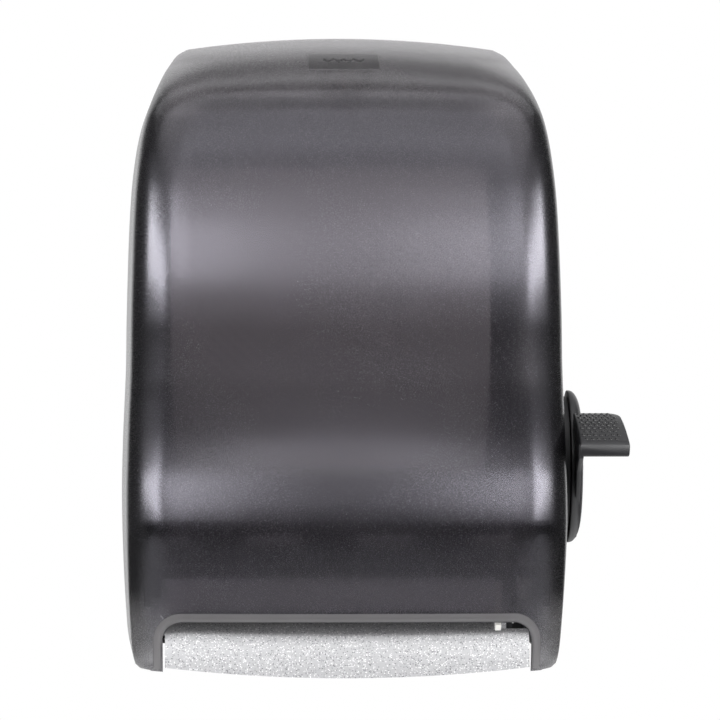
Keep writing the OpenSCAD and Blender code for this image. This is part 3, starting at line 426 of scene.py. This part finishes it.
# each row is a height and, there, how far in the side or the front is, or the front's crown
cover = {
    "halfWidth": 147.95, "depth": 234.28, "wall": 3.0, "topArch": 7.0,
    "taper": 7.5, "cornerRadius": 37.0, "top": 209.5, "low": -206.0, "archFrom": 100.0,
    "widthRows": [(209.5, 44), (205, 37), (198, 31.8), (190, 27.4), (178, 22.4), (164, 17.2),
                  (150, 13.0), (130, 9.3), (105, 6.5), (75, 4.8), (20, 3.2), (-15, 2.7), (-60, 0.8),
                  (-100, 0), (-145, 1.1), (-185, 3.4), (-198, 5), (-203.5, 6.8), (-206, 10)],
    "depthRows": [(209.5, 230), (207, 212), (200, 174), (192, 141.7), (184, 115.7), (177, 97),
                  (171, 84), (163, 71), (155, 63), (150, 59.5), (130, 47.5), (110, 38.5), (97, 33.7),
                  (77, 27.5), (57, 22.5), (38, 18.8), (18, 16.5), (2, 16.0), (-9, 15.4), (-21, 14.4),
                  (-34, 13.4), (-54, 10.8), (-74, 6.8), (-93, 3.0), (-102, 1.3), (-109, 0.3),
                  (-112, 0), (-116.5, 0.8), (-124, 3.2), (-140, 9.2), (-166, 19.2), (-180, 24),
                  (-206, 31.5)],
    "crownRows": [(209.5, 2.8), (0, 2.8), (-12, 3.0), (-30, 3.7), (-50, 4.75), (-64, 5.6),
                  (-72, 5.95), (-80, 5.9), (-93, 5.1), (-103, 4.5), (-110, 4.1), (-118, 4.0), (-206, 4.0)],
    "levels": 150, "sideSteps": 9, "cornerSteps": 14, "frontSteps": 26,
}
arch = {"halfWidth": 117.0, "top": -174.0, "radius": 12.0, "rear": -78.3, "lip": 6.2, "proud": 1.1}
lock = {"out": 104.0, "tilt": 16.4, "grooveAt": 24.0, "grooveHalfWidth": 0.5, "grooveHalfLength": 17.0,
        "sink": 0.45, "slotWidth": 27.0, "wave": 3.0, "waves": 4, "gap": 1.8, "coreSink": 0.45,
        "pocket": (23.0, 21.0, -3.2)}      # half width, half length and roof of the room behind the slot
hinge = {"y": -22.0, "z": -190.0, "lug": 10.02, "lugFrom": 133.3, "lugTo": 141.0, "corner": 21.5}
leverAxis = {"y": -100.0, "z": -78.0}
notch = {"radius": 51.5, "x0": 117.0, "x1": 177.0}
# how far the cutting solids go on past the cover
past = {"side": 200, "rear": 40, "rearLow": -225, "low": -230.0, "front": -320.0}


def throughRows(rows, z):
    last = len(rows) - 1

    def slope(i):
        a, b = rows[max(i - 1, 0)], rows[min(i + 1, last)]
        return (b[1] - a[1]) / (b[0] - a[0])

    i = 0
    while i < last - 1 and z < rows[i + 1][0]:
        i += 1
    h = rows[i + 1][0] - rows[i][0]
    u = (z - rows[i][0]) / h
    return (rows[i][1] * (2 * u ** 3 - 3 * u ** 2 + 1) + slope(i) * h * (u ** 3 - 2 * u ** 2 + u)
            + rows[i + 1][1] * (3 * u ** 2 - 2 * u ** 3) + slope(i + 1) * h * (u ** 3 - u ** 2))


def coverHalfWidth(z):
    return cover["halfWidth"] - throughRows(cover["widthRows"], z)


def coverDepth(z):
    return cover["depth"] - throughRows(cover["depthRows"], z)


def levelShape(z, inset):
    w, d = coverHalfWidth(z) - inset, coverDepth(z) - inset
    k = throughRows(cover["crownRows"], z) / 10000 * min(1, d / 90)
    r = min(cover["cornerRadius"] - inset, 0.45 * d)
    t = cover["taper"] * d / cover["depth"]
    edge = (w - t - r) / (1 - 2 * k * r)
    start = math.atan(2 * k * edge)
    cy = -d + k * edge * edge + r * math.cos(start)
    return w, d, k, r, t, edge, start, cy, w - t - r


def levelPoints(z, inset, rearY):
    w, d, k, r, t, edge, start, cy, cx = levelShape(z, inset)
    half = []
    for i in range(cover["sideSteps"]):
        s = i / cover["sideSteps"]
        half.append((w - t * s, rearY + (cy - rearY) * s))
    for i in range(cover["cornerSteps"] + 1):
        a = math.pi / 2 - (math.pi / 2 - start) * i / cover["cornerSteps"]
        half.append((cx + r * math.sin(a), cy - r * math.cos(a)))
    for i in range(1, cover["frontSteps"] + 1):
        x = edge * (1 - i / cover["frontSteps"])
        half.append((x, -d + k * x * x))
    return half + [(-x, y) for x, y in reversed(half[:-1])]


def archShare(z):
    return max(0, (z - cover["archFrom"]) / (cover["top"] - cover["archFrom"])) ** 2


def levelHeight(x, z):
    return z - cover["topArch"] * (x / 100) ** 2 * archShare(z)


def frontY(x, z):
    # the outer surface's y on the front or in its rounded corner
    w, d, k, r, t, edge, start, cy, cx = levelShape(z, 0)
    if abs(x) <= edge:
        return -d + k * x * x
    return cy - math.sqrt(max(0.0, r * r - (abs(x) - cx) ** 2))


def ridgeSink(x, z):
    # the shallow line under the top face, which turns down towards the sides
    past = max(0.0, abs(x) - ridge["from"]) / ridge["span"]
    line = ridge["z"] - ridge["fall"] * past ** 2.2
    steep = ridge["fall"] * 2.2 * past ** 1.2 / ridge["span"]
    away = (z - line) / math.sqrt(1 + steep * steep)
    fade = max(0.0, 1 - past * 0.8)
    return ridge["sink"] * fade * math.exp(-(away / ridge["width"]) ** 2)


def coverSolid(name, inset, rearY, drop):
    rings = []
    for i in range(cover["levels"] + 1):
        z = cover["top"] - (cover["top"] - cover["low"]) * (i / cover["levels"]) ** 1.25
        ring = []
        flat = levelPoints(z, inset, rearY)
        for j, (x, y) in enumerate(flat):
            high = levelHeight(x, z)
            if inset == 0:
                a, b = flat[max(j - 1, 0)], flat[min(j + 1, len(flat) - 1)]
                along = Vector((b[0] - a[0], b[1] - a[1])).normalized()
                sink = ridgeSink(x, high)
                x, y = x + along.y * sink, y - along.x * sink
            ring.append((x, y, high - drop))
        rings.append(ring)
    points, faces = skin(rings)
    count = len(rings[0])
    low = count * cover["levels"]
    for j in range(count // 2):
        a, b, c, d = j, j + 1, count - 2 - j, count - 1 - j
        if b < c:
            faces.append((d, c, b, a))
            faces.append((a + low, b + low, c + low, d + low))
        else:
            faces.append((d, b, a))
            faces.append((a + low, b + low, d + low))
    return looseObject(name, points, faces)


def lockPoint(x, y, z):
    # from the lock's own sloping frame to the row frame
    a = math.radians(lock["tilt"])
    return (x, -lock["out"] + y * math.cos(a) - z * math.sin(a),
            lockFaceZ + y * math.sin(a) + z * math.cos(a))


def heightOnTop(out):
    low, high = 150.0, 209.0
    for _ in range(24):
        middle = (low + high) / 2
        if coverDepth(middle) > out:
            low = middle
        else:
            high = middle
    return (low + high) / 2


lockFaceZ = heightOnTop(lock["out"])


def lockBlock(name, halfX, halfY, z0, z1, middle=0.0):
    x0, x1 = middle - halfX, middle + halfX
    corners = [(x0, -halfY), (x1, -halfY), (x1, halfY), (x0, halfY)]
    points = [lockPoint(x, y, z) for z in (z0, z1) for x, y in corners]
    faces = [(3, 2, 1, 0), (4, 5, 6, 7)] + [(i, (i + 1) % 4, 4 + (i + 1) % 4, 4 + i) for i in range(4)]
    return looseObject(name, points, faces)


def keySlot(name, z0=-15.0, z1=15.0, widen=0.0):
    steps = 72
    turn = 2 * lock["waves"] * math.pi
    wave = [(lock["slotWidth"] * (i / steps - 0.5), lock["wave"] * math.cos(i / steps * turn))
            for i in range(steps + 1)]
    gap = lock["gap"] + widen
    outline = [(x, y + gap) for x, y in wave] + [(x, y - gap) for x, y in reversed(wave)]
    count = len(outline)
    points = [lockPoint(x, y, z) for z in (z0, z1) for x, y in outline]
    faces = [tuple(range(count - 1, -1, -1)), tuple(range(count, 2 * count))]
    faces += [(i, (i + 1) % count, count + (i + 1) % count, count + i) for i in range(count)]
    return looseObject(name, points, faces)


def archOutline():
    # (x, z, outward x, outward z) along the arch, from the left foot over the top to the right foot
    half, top, radius = arch["halfWidth"], arch["top"], arch["radius"]
    right = []
    for i in range(25):
        x = (half - radius) * i / 24
        right.append((x, top, 0, 1))
    for i in range(1, 13):
        a = math.pi / 2 * (1 - i / 12)
        right.append((half - radius + radius * math.cos(a), top - radius + radius * math.sin(a),
                      math.cos(a), math.sin(a)))
    low = cover["low"] + 1.5
    for i in range(1, 7):
        right.append((half, top - radius + (low - top + radius) * i / 6, 1, 0))
    return [(-x, z, -u, v) for x, z, u, v in reversed(right[1:])] + right


def bar(outline, x0, x1, name):
    points, faces = prism(outline, x0, x1)
    return looseObject(name, points, faces)


def disc(radius, y, z):
    steps = 96
    return [(y + radius * math.cos(2 * math.pi * i / steps), z + radius * math.sin(2 * math.pi * i / steps))
            for i in range(steps)]


def leverNotch():
    # a round hole at the hub and a band behind it about the hinge, through the right wall
    dy, dz = leverAxis["y"] - hinge["y"], leverAxis["z"] - hinge["z"]
    reach, end, r = math.hypot(dy, dz), math.atan2(dz, dy), notch["radius"]

    def arc(radius, steps):
        return [(hinge["y"] + radius * math.cos(end * i / 48), hinge["z"] + radius * math.sin(end * i / 48))
                for i in steps]

    band = bar(arc(reach - r, range(49)) + arc(reach + r, range(48, -1, -1)), notch["x0"], notch["x1"],
               "notchBand")
    hub = bar(disc(r, leverAxis["y"], leverAxis["z"]), notch["x0"], notch["x1"] + 0.5, "notchHub")
    return [band, hub]


def makeCover():
    outer = coverSolid("coverOuter", 0, 0, 0)
    cutters = [coverSolid("coverInner", cover["wall"], 2, cover["wall"])]
    opening = [(x, z) for x, z, u, v in archOutline()]
    opening = [(-arch["halfWidth"], past["low"])] + opening + [(arch["halfWidth"], past["low"])]
    count = len(opening)
    points = [(x, y, z) for y in (arch["rear"], past["front"]) for x, z in opening]
    faces = [tuple(range(count)), tuple(range(2 * count - 1, count - 1, -1))]
    faces += [(i, count + i, count + (i + 1) % count, (i + 1) % count) for i in range(count)]
    cutters.append(looseObject("archCut", points, faces))
    cutters += leverNotch()
    # the rear lower corners are round about the hinge
    rearArc = [(hinge["y"] + hinge["corner"] * math.sin(a), hinge["z"] - hinge["corner"] * math.cos(a))
               for a in [math.pi / 2 * i / 24 for i in range(25)]]
    rear, low, wide = past["rear"], past["rearLow"], past["side"]
    cutters.append(bar(rearArc + [(rear, hinge["z"]), (rear, low), (hinge["y"], low)], -wide, wide,
                       "rearRound"))
    for side in (-1, 1):
        x0, x1 = sorted((side * hinge["lugFrom"], side * hinge["lugTo"]))
        cutters.append(bar(disc(hinge["lug"], hinge["y"], hinge["z"]), x0, x1, "lugSeat"))
    cutters.append(keySlot("slotCut"))
    for side in (-1, 1):
        cutters.append(lockBlock("lockGroove", lock["grooveHalfWidth"], lock["grooveHalfLength"],
                                 -lock["sink"], 20, side * lock["grooveAt"]))
    halfX, halfY, roof = lock["pocket"]
    cutters.append(lockBlock("lockPocket", halfX, halfY, -20, roof))
    mesh = carved(outer, cutters)
    mesh.name = "coverSkin"
    piece = newPiece("cover_skin", mesh, "cover_smoke", "cover", 30)
    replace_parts(piece, "cover_shell")
    # the black lock shows in the slot, raised to a little below the face so the slot reads dark: partly the
    # lock's own black, partly painted shade
    core = keySlot("slotCore", roof + 0.1, -lock["sink"] - lock["coreSink"], -0.12)
    coreMesh = core.data
    bpy.data.objects.remove(core)
    newPiece("lock_core", coreMesh, "black_plastic", "cover", 30)
    print("cover carved:", len(mesh.polygons), "faces")


def makeArchLip():
    # a flared rim round the arch; its profile is out from the arch's edge and proud of the front
    wide, proud = arch["lip"], arch["proud"]
    profile = [(0.15, -2.6), (0.0, -0.9), (0.3, -0.2), (0.9, proud * 0.55), (1.7, proud * 0.92),
               (2.5, proud), (3.4, proud * 0.9), (4.4, proud * 0.5), (wide - 0.6, 0.10), (wide, -0.25),
               (wide - 1.2, -0.9), (2.0, -1.6)]
    rings = []
    for x, z, u, v in archOutline():
        ring = []
        for a, b in profile:
            px, pz = x + u * a, z + v * a
            ring.append((px, frontY(px, max(pz, cover["low"])) - b, pz))
        rings.append(ring)
    points, faces = capped(rings)
    newPiece("arch_lip", meshFrom("archLip", points, faces), "smokeRim", "cover", 50)


makeCover()
makeArchLip()
print("cover done")


lever = {"x": 146.6, "radius": 50.0, "thick": 8.3, "domeOut": 14.0, "domeUp": 7.2,
         "armX0": 148.6, "armX1": 152.4}
paddle = {"left": 147.6, "right": 179.4, "rearY": -148.0, "length": 57.0, "rearZ": -42.4, "drop": 18.4,
          "crown": 2.5, "rear": 9.5, "front": 9.4, "edge": 1.0, "corner": 11.0,
          "dotsFrom": 150.4, "dotsTo": 173.2, "columns": 7, "rows": 10, "dot": 1.3, "dotHeight": 0.8,
          "dotSteps": 12}
paddleRib = {"low": -70.3, "high": -61.6,
             "outline": [(147.0, -196), (149.4, -196), (149.8, -203.9), (149.0, -204.5),
                         (147.8, -204.5), (147.0, -203.8)]}


def paddleTop(s):
    return (paddle["rearY"] - paddle["length"] * s,
            paddle["rearZ"] - paddle["drop"] * s + 4 * paddle["crown"] * s * (1 - s))


def makeHub():
    # a domed disc with a flat middle and a ring round its screw
    r, x, out, up, t = lever["radius"], lever["x"], lever["domeOut"], lever["domeUp"], lever["thick"]
    profile = [(x, 4.0), (x, r - 0.6), (x + 0.15, r - 0.15), (x + 0.6, r)]
    base = t - up
    profile += [(x + base + up * math.sin(a), r - out + out * math.cos(a))
                for a in [math.pi / 2 * i / 14 for i in range(15)]]
    profile += [(x + t - deep, radius) for deep, radius in (
        (0.0, 22.0), (0.5, 20.6), (1.3, 20.0), (1.5, 19.0), (1.5, 14.6), (1.2, 13.6), (0.4, 12.9),
        (0.0, 12.0), (0.0, 4.0))]
    points, faces = lathe(profile, leverAxis["y"], leverAxis["z"], 128)
    return newPiece("lever_hub", meshFrom("leverHub", points, faces), "black_plastic", "lever",
                    40)


def makeArm():
    # the web that carries the paddle and runs down over the hub
    y, z = leverAxis["y"], leverAxis["z"]
    outline = [(y - 24, z + 35), (paddle["rearY"] + 1, paddle["rearZ"] - 3)]
    outline += [(paddleTop(s)[0], paddleTop(s)[1] - 1.4) for s in (0.1, 0.3, 0.5, 0.7, 0.9)]
    outline += [(-200.0, -66.5), (-176, -70), (-157, -80), (-147, -96), (y - 38, z - 27),
                (y - 30, z - 37), (y - 14, z - 46.2), (y - 4, z - 47.4), (y + 8, z - 44),
                (y + 12, z - 30), (y + 10, z + 20)]
    points, faces = prism(outline, lever["armX0"], lever["armX1"])
    piece = newPiece("lever_arm", meshFrom("leverArm", points, faces), "black_plastic", "lever",
                     40)
    roundEdges(piece, 1.1, 3, 30)


def paddleEdge(s):
    # how far the right edge is drawn in at a share of the length, round the rear corner
    back = paddle["length"] * s
    if back >= paddle["corner"]:
        return 0.0
    return paddle["corner"] * 0.75 * (1 - math.sqrt(1 - (1 - back / paddle["corner"]) ** 2))


def makePaddle():
    # cross sections from the rear edge to the front one, with rounded edges
    e = paddle["edge"]
    rings = []
    steps = [0.0, 0.012, 0.03, 0.055, 0.09, 0.13, 0.17, 0.21] + [0.26 + 0.66 * i / 14 for i in range(15)]
    front = [(0.945, 0.0), (0.965, 0.10), (0.98, 0.32), (0.992, 0.66), (0.999, 1.1)]     # share, fall
    for s in steps:
        y, z = paddleTop(s)
        rings.append((s, y, z, z - paddle["rear"] - (paddle["front"] - paddle["rear"]) * s))
    for s, fall in front:
        y, z = paddleTop(s)
        bottom = z - paddle["front"] + (1.6 * max(0, s - 0.96) / 0.04) ** 1.6
        rings.append((s, y, z - fall, bottom))
    shaped = []
    for s, y, top, bottom in rings:
        left, right = paddle["left"] + 0.4 * s, paddle["right"] - paddleEdge(s) - 2.4 * (1 - s)
        r = min(e, (top - bottom) * 0.45)
        ring = []
        for cx, cz, a0 in ((right - r, top - r, 0), (left + r, top - r, 90), (left + r, bottom + r, 180),
                           (right - r * 1.3, bottom + r, 270)):
            for k in range(5):
                a = math.radians(a0 + 90 * k / 4)
                ring.append((cx + r * math.cos(a), y, cz + r * math.sin(a)))
        shaped.append(ring)
    points, faces = capped(shaped)
    newPiece("lever_paddle", meshFrom("leverPaddle", points, faces), "black_plastic", "lever",
             50)
    # the short rib under the paddle's inner corner
    points, faces = capped([[(x, y, z) for x, y in paddleRib["outline"]]
                            for z in (paddleRib["low"], paddleRib["high"])])
    newPiece("paddle_rib", meshFrom("paddleRib", points, faces), "black_plastic", "lever",
             30)


def makePaddleDots():
    # low domes in rows, every other row set off by half a step; the rear corner has none
    around = paddle["dotSteps"]
    points, faces = [], []
    across = (paddle["dotsTo"] - paddle["dotsFrom"]) / (paddle["columns"] - 1)
    for row in range(paddle["rows"]):
        s = 0.06 + 0.84 * row / (paddle["rows"] - 1)
        y, z = paddleTop(s)
        ahead = paddleTop(s + 0.01)
        along = Vector((0, ahead[0] - y, ahead[1] - z)).normalized()
        up = Vector((1, 0, 0)).cross(along)
        up = up if up.z > 0 else -up
        stagger = across / 2 if row % 2 else 0
        for column in range(paddle["columns"] - (row % 2)):
            if row == 0 and column == paddle["columns"] - 1:
                continue
            centre = Vector((paddle["dotsFrom"] + stagger + across * column, y, z)) - up * 0.1
            first = len(points)
            for ring in range(4):
                polar = math.pi / 2 * ring / 4
                for k in range(around):
                    turn = 2 * math.pi * k / around
                    flat = math.cos(polar) * paddle["dot"]
                    p = (centre + Vector((1, 0, 0)) * flat * math.cos(turn) + along * flat * math.sin(turn)
                         + up * paddle["dotHeight"] * math.sin(polar))
                    points.append(p)
            points.append(centre + up * paddle["dotHeight"])
            for ring in range(3):
                for k in range(around):
                    a, b = first + ring * around + k, first + ring * around + (k + 1) % around
                    faces.append((a, b, b + around, a + around))
            last = first + 3 * around
            for k in range(around):
                faces.append((last + k, last + (k + 1) % around, last + around))
    newPiece("paddle_dots", meshFrom("paddleDots", points, faces), "gloss", "lever", 60)


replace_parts(makeHub(), "lever")
makeArm()
makePaddle()
makePaddleDots()
print("lever done")


def makeRoll():
    r, e = roll["radius"] - 0.3, roll["edge"]
    x0, x1 = roll["x0"] + 0.1, roll["x1"] - 0.1
    turns = [math.pi / 2 * i / 5 for i in range(6)]
    corner = [(x0 + e - e * math.cos(a), r - e + e * math.sin(a)) for a in turns]
    far = [(x1 - e + e * math.sin(a), r - e + e * math.cos(a)) for a in turns]
    steps = 60
    heights = [roll["bore"] + 0.1 + (r - e - roll["bore"]) * i / steps for i in range(steps)]
    left = [(x0 + 0.35 * math.sin(i * 0.9) ** 2, heights[i]) for i in range(steps)]
    right = [(x1 - 0.35 * math.sin(i * 1.1) ** 2, heights[i]) for i in range(steps - 1, -1, -1)]
    top = [(x0 + e + (x1 - x0 - 2 * e) * i / 20, r) for i in range(1, 20)]
    points, faces = lathe(left + corner + top + far + right, roll["y"], roll["z"], 180)
    piece = newPiece("paper_roll_skin", meshFrom("paperRoll", points, faces), "paper", "paper_roll",
                     40)
    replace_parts(piece, "towel_roll")
    # the loose end of the outer turn
    rings = []
    for i in range(40):
        a = math.radians(roll["endFrom"] + roll["endSpan"] * i / 39)
        lift = 0.05 + 0.10 * (i / 39)
        ring = []
        for depth in (0.0, 0.12):
            rr = r + lift - depth
            y, z = roll["y"] + rr * math.cos(a), roll["z"] + rr * math.sin(a)
            ring += [(x0 + 1.2, y, z), (x1 - 1.2, y, z)]
        rings.append([ring[0], ring[1], ring[3], ring[2]])
    points, faces = capped(rings)
    newPiece("paper_end", meshFrom("paperEnd", points, faces), "paper", "paper_roll", 40)


makeRoll()
print("roll done")


# the other nodes keep their shape and get a finish, with fine rounds on their edges, in mm
hidden = {"cover_shell", "towel_roll", "lever"}
slots = {row["node"]: row["material_slot"] for row in frame["record"]["subparts"]}
edgeWidth = {"chute": 0.5, "back_plate": 0.6, "gear_cover": 0.6, "left_cheek": 0.5,
             "right_cheek": 0.5, "tear_bar": 0.12, "paper_guide": 0.4}
for name, node in nodes.items():
    if name in hidden:
        continue
    node.data.materials.clear()
    # painted light: the lock plate gets the pale rim finish in place of its black, so no dark patch of it
    # shows through the cover
    node.data.materials.append(finishes["smokeRim" if name == "lock_plate" else slots[name]])
    for face in node.data.polygons:
        face.use_smooth = True
    weld = node.modifiers.new("weld", "WELD")
    weld.merge_threshold = 0.002 * mm
    roundEdges(node, edgeWidth.get(name, 0.25), 2, 38)
    shade = node.modifiers.new("shade", "WEIGHTED_NORMAL")
    shade.mode = "FACE_AREA_WITH_ANGLE"
    shade.weight = 50
print("frame nodes dressed")


studio = {"floorZ": -0.62, "floorReach": 3.0, "pale": (0.86, 0.86, 0.86), "fill": 0.20}


def card(name, corners):
    mesh = bpy.data.meshes.new(name)
    mesh.from_pydata(corners, [], [(0, 1, 2, 3)])
    piece = bpy.data.objects.new(name, mesh)
    bpy.context.scene.collection.objects.link(piece)
    return piece


def makeFloor():
    reach, z = studio["floorReach"], studio["floorZ"]
    floor = card("floor", [(-reach, -reach, z), (reach, -reach, z), (reach, reach, z), (-reach, reach, z)])
    f = Finish("paleFloor")
    x, y = f.axis("X"), f.axis("Y")
    away = ((x * x + y * y) ** 0.5).ease(0.5, 1.6)
    camera = f.node("ShaderNodeLightPath", output="Is Camera Ray")
    pale = f.node("ShaderNodeBsdfDiffuse", {}, {"Color": studio["pale"], "Roughness": 0.0})
    white = f.node("ShaderNodeEmission", {}, {"Color": (1, 1, 1), "Strength": 1.0})
    mixed = f.node("ShaderNodeMixShader", {}, {0: away * camera, 1: pale, 2: white})
    floor.data.materials.append(f.end(mixed))


def makeWorld():
    world = bpy.data.worlds.new("studio")
    world.use_nodes = True
    bpy.context.scene.world = world
    f = Finish("studio", world.node_tree)
    camera, glossy, through = [f.node("ShaderNodeLightPath", output="Is " + kind + " Ray")
                               for kind in ("Camera", "Glossy", "Transmission")]
    seen = camera.largest(glossy).largest(through)
    fill = f.node("ShaderNodeBackground", {}, {"Color": (1, 1, 1), "Strength": studio["fill"]})
    white = f.node("ShaderNodeBackground", {}, {"Color": (1, 1, 1), "Strength": 1.0})
    mixed = f.node("ShaderNodeMixShader", {}, {0: seen, 1: fill, 2: white})
    f.node("ShaderNodeOutputWorld", {}, {"Surface": mixed})


def makeLamp(name, place, aim, wide, tall, power):
    data = bpy.data.lights.new(name, "AREA")
    data.shape = "RECTANGLE"
    data.size = wide
    data.size_y = tall
    data.energy = power
    lamp = bpy.data.objects.new(name, data)
    bpy.context.scene.collection.objects.link(lamp)
    lamp.location = place
    lamp.rotation_euler = (Vector(aim) - Vector(place)).to_track_quat("-Z", "Y").to_euler()


def makeFlag(name, corners):
    # dark card that only reflections see
    flag = card(name, corners)
    f = Finish(name)
    flag.data.materials.append(f.end(f.node("ShaderNodeBsdfDiffuse", {}, {"Color": (0.01, 0.01, 0.01)})))
    flag.visible_camera = False
    flag.visible_diffuse = False
    flag.visible_transmission = False
    flag.visible_shadow = False


def makeArcLamp(name, azimuth, spread, low, high, radiance):
    # a soft box on the arc round the object, from one height angle to another;
    # azimuth 0 is straight in front, positive to the right
    a, half = math.radians(azimuth), math.radians(spread) / 2
    wide = 2 * arc["reach"] * math.sin(half)
    out = arc["reach"] * math.cos(half)
    zLow, zHigh = out * math.tan(math.radians(low)), out * math.tan(math.radians(high))
    tall = (zHigh - zLow) * math.cos(math.radians((low + high) / 2))
    place = (out * math.sin(a), arc["aim"][1] - out * math.cos(a), (zLow + zHigh) / 2)
    makeLamp(name, place, arc["aim"], wide, tall, radiance * math.pi * wide * tall)


arc = {
    "reach": 2.8, "aim": (0, -0.15, 0.0),
    # azimuth, spread, lowest and highest angle, radiance
    "lamps": {"leftFront": (-27, 42, 22, 36, 7.6), "rightFront": (27, 42, 22, 36, 6.2),
              "middle": (0, 11, 22, 34, 0.8),
              "leftSide": (-72, 44, 14, 25, 18.0), "rightSide": (72, 44, 14, 25, 18.5)},
}
overBox = {"place": (0.0, -1.45, 2.45), "aim": (0, -0.1, 0.15), "wide": 2.6, "tall": 0.9, "power": 11.0}
room = {"side": 3.8, "front": -3.9, "rear": 6.0, "low": -0.6, "high": 3.2}


def standing(x0, y0, x1, y1, high):
    low = room["low"]
    return [(x0, y0, low), (x1, y1, low), (x1, y1, high), (x0, y0, high)]


def lying(x0, x1, y0, y1, z):
    return [(x0, y0, z), (x1, y0, z), (x1, y1, z), (x0, y1, z)]


makeFloor()
makeWorld()
for name, values in arc["lamps"].items():
    makeArcLamp(name, *values)
makeLamp("overBox", **overBox)
side, front, rear, low, high = [room[key] for key in ("side", "front", "rear", "low", "high")]
flags = {
    "frontFlag": standing(-side, front, side, front, 1.15),
    "leftFlag": standing(-side, front, -side, rear, high),
    "rightFlag": standing(side, front, side, rear, high),
    "lowFlag": lying(-side, side, front, -0.66, low),
    "lowLeftFlag": lying(-side, -1.1, -0.66, 4.5, low),
    "lowRightFlag": lying(1.1, side, -0.66, 4.5, low),
    "ceilingFlag": lying(-side, side, 1.2, 2.3, high),
    "rearFlag": lying(-side, side, 3.4, 5.6, high),
}
for name, corners in flags.items():
    makeFlag(name, corners)
view = {"place": (-0.070, -3.0, 0.0), "aim": (0.0109, -0.1, -0.0081), "lens": 220.8}


def makeCamera():
    data = bpy.data.cameras.new("camera")
    data.lens = view["lens"]
    data.sensor_width = 36.0
    data.clip_start = 0.05
    data.clip_end = 60.0
    camera = bpy.data.objects.new("camera", data)
    bpy.context.scene.collection.objects.link(camera)
    camera.location = view["place"]
    camera.rotation_euler = (Vector(view["aim"]) - camera.location).to_track_quat("-Z", "Y").to_euler()
    bpy.context.scene.camera = camera


makeCamera()
bpy.context.scene.view_settings.view_transform = "Standard"
print("studio ready")
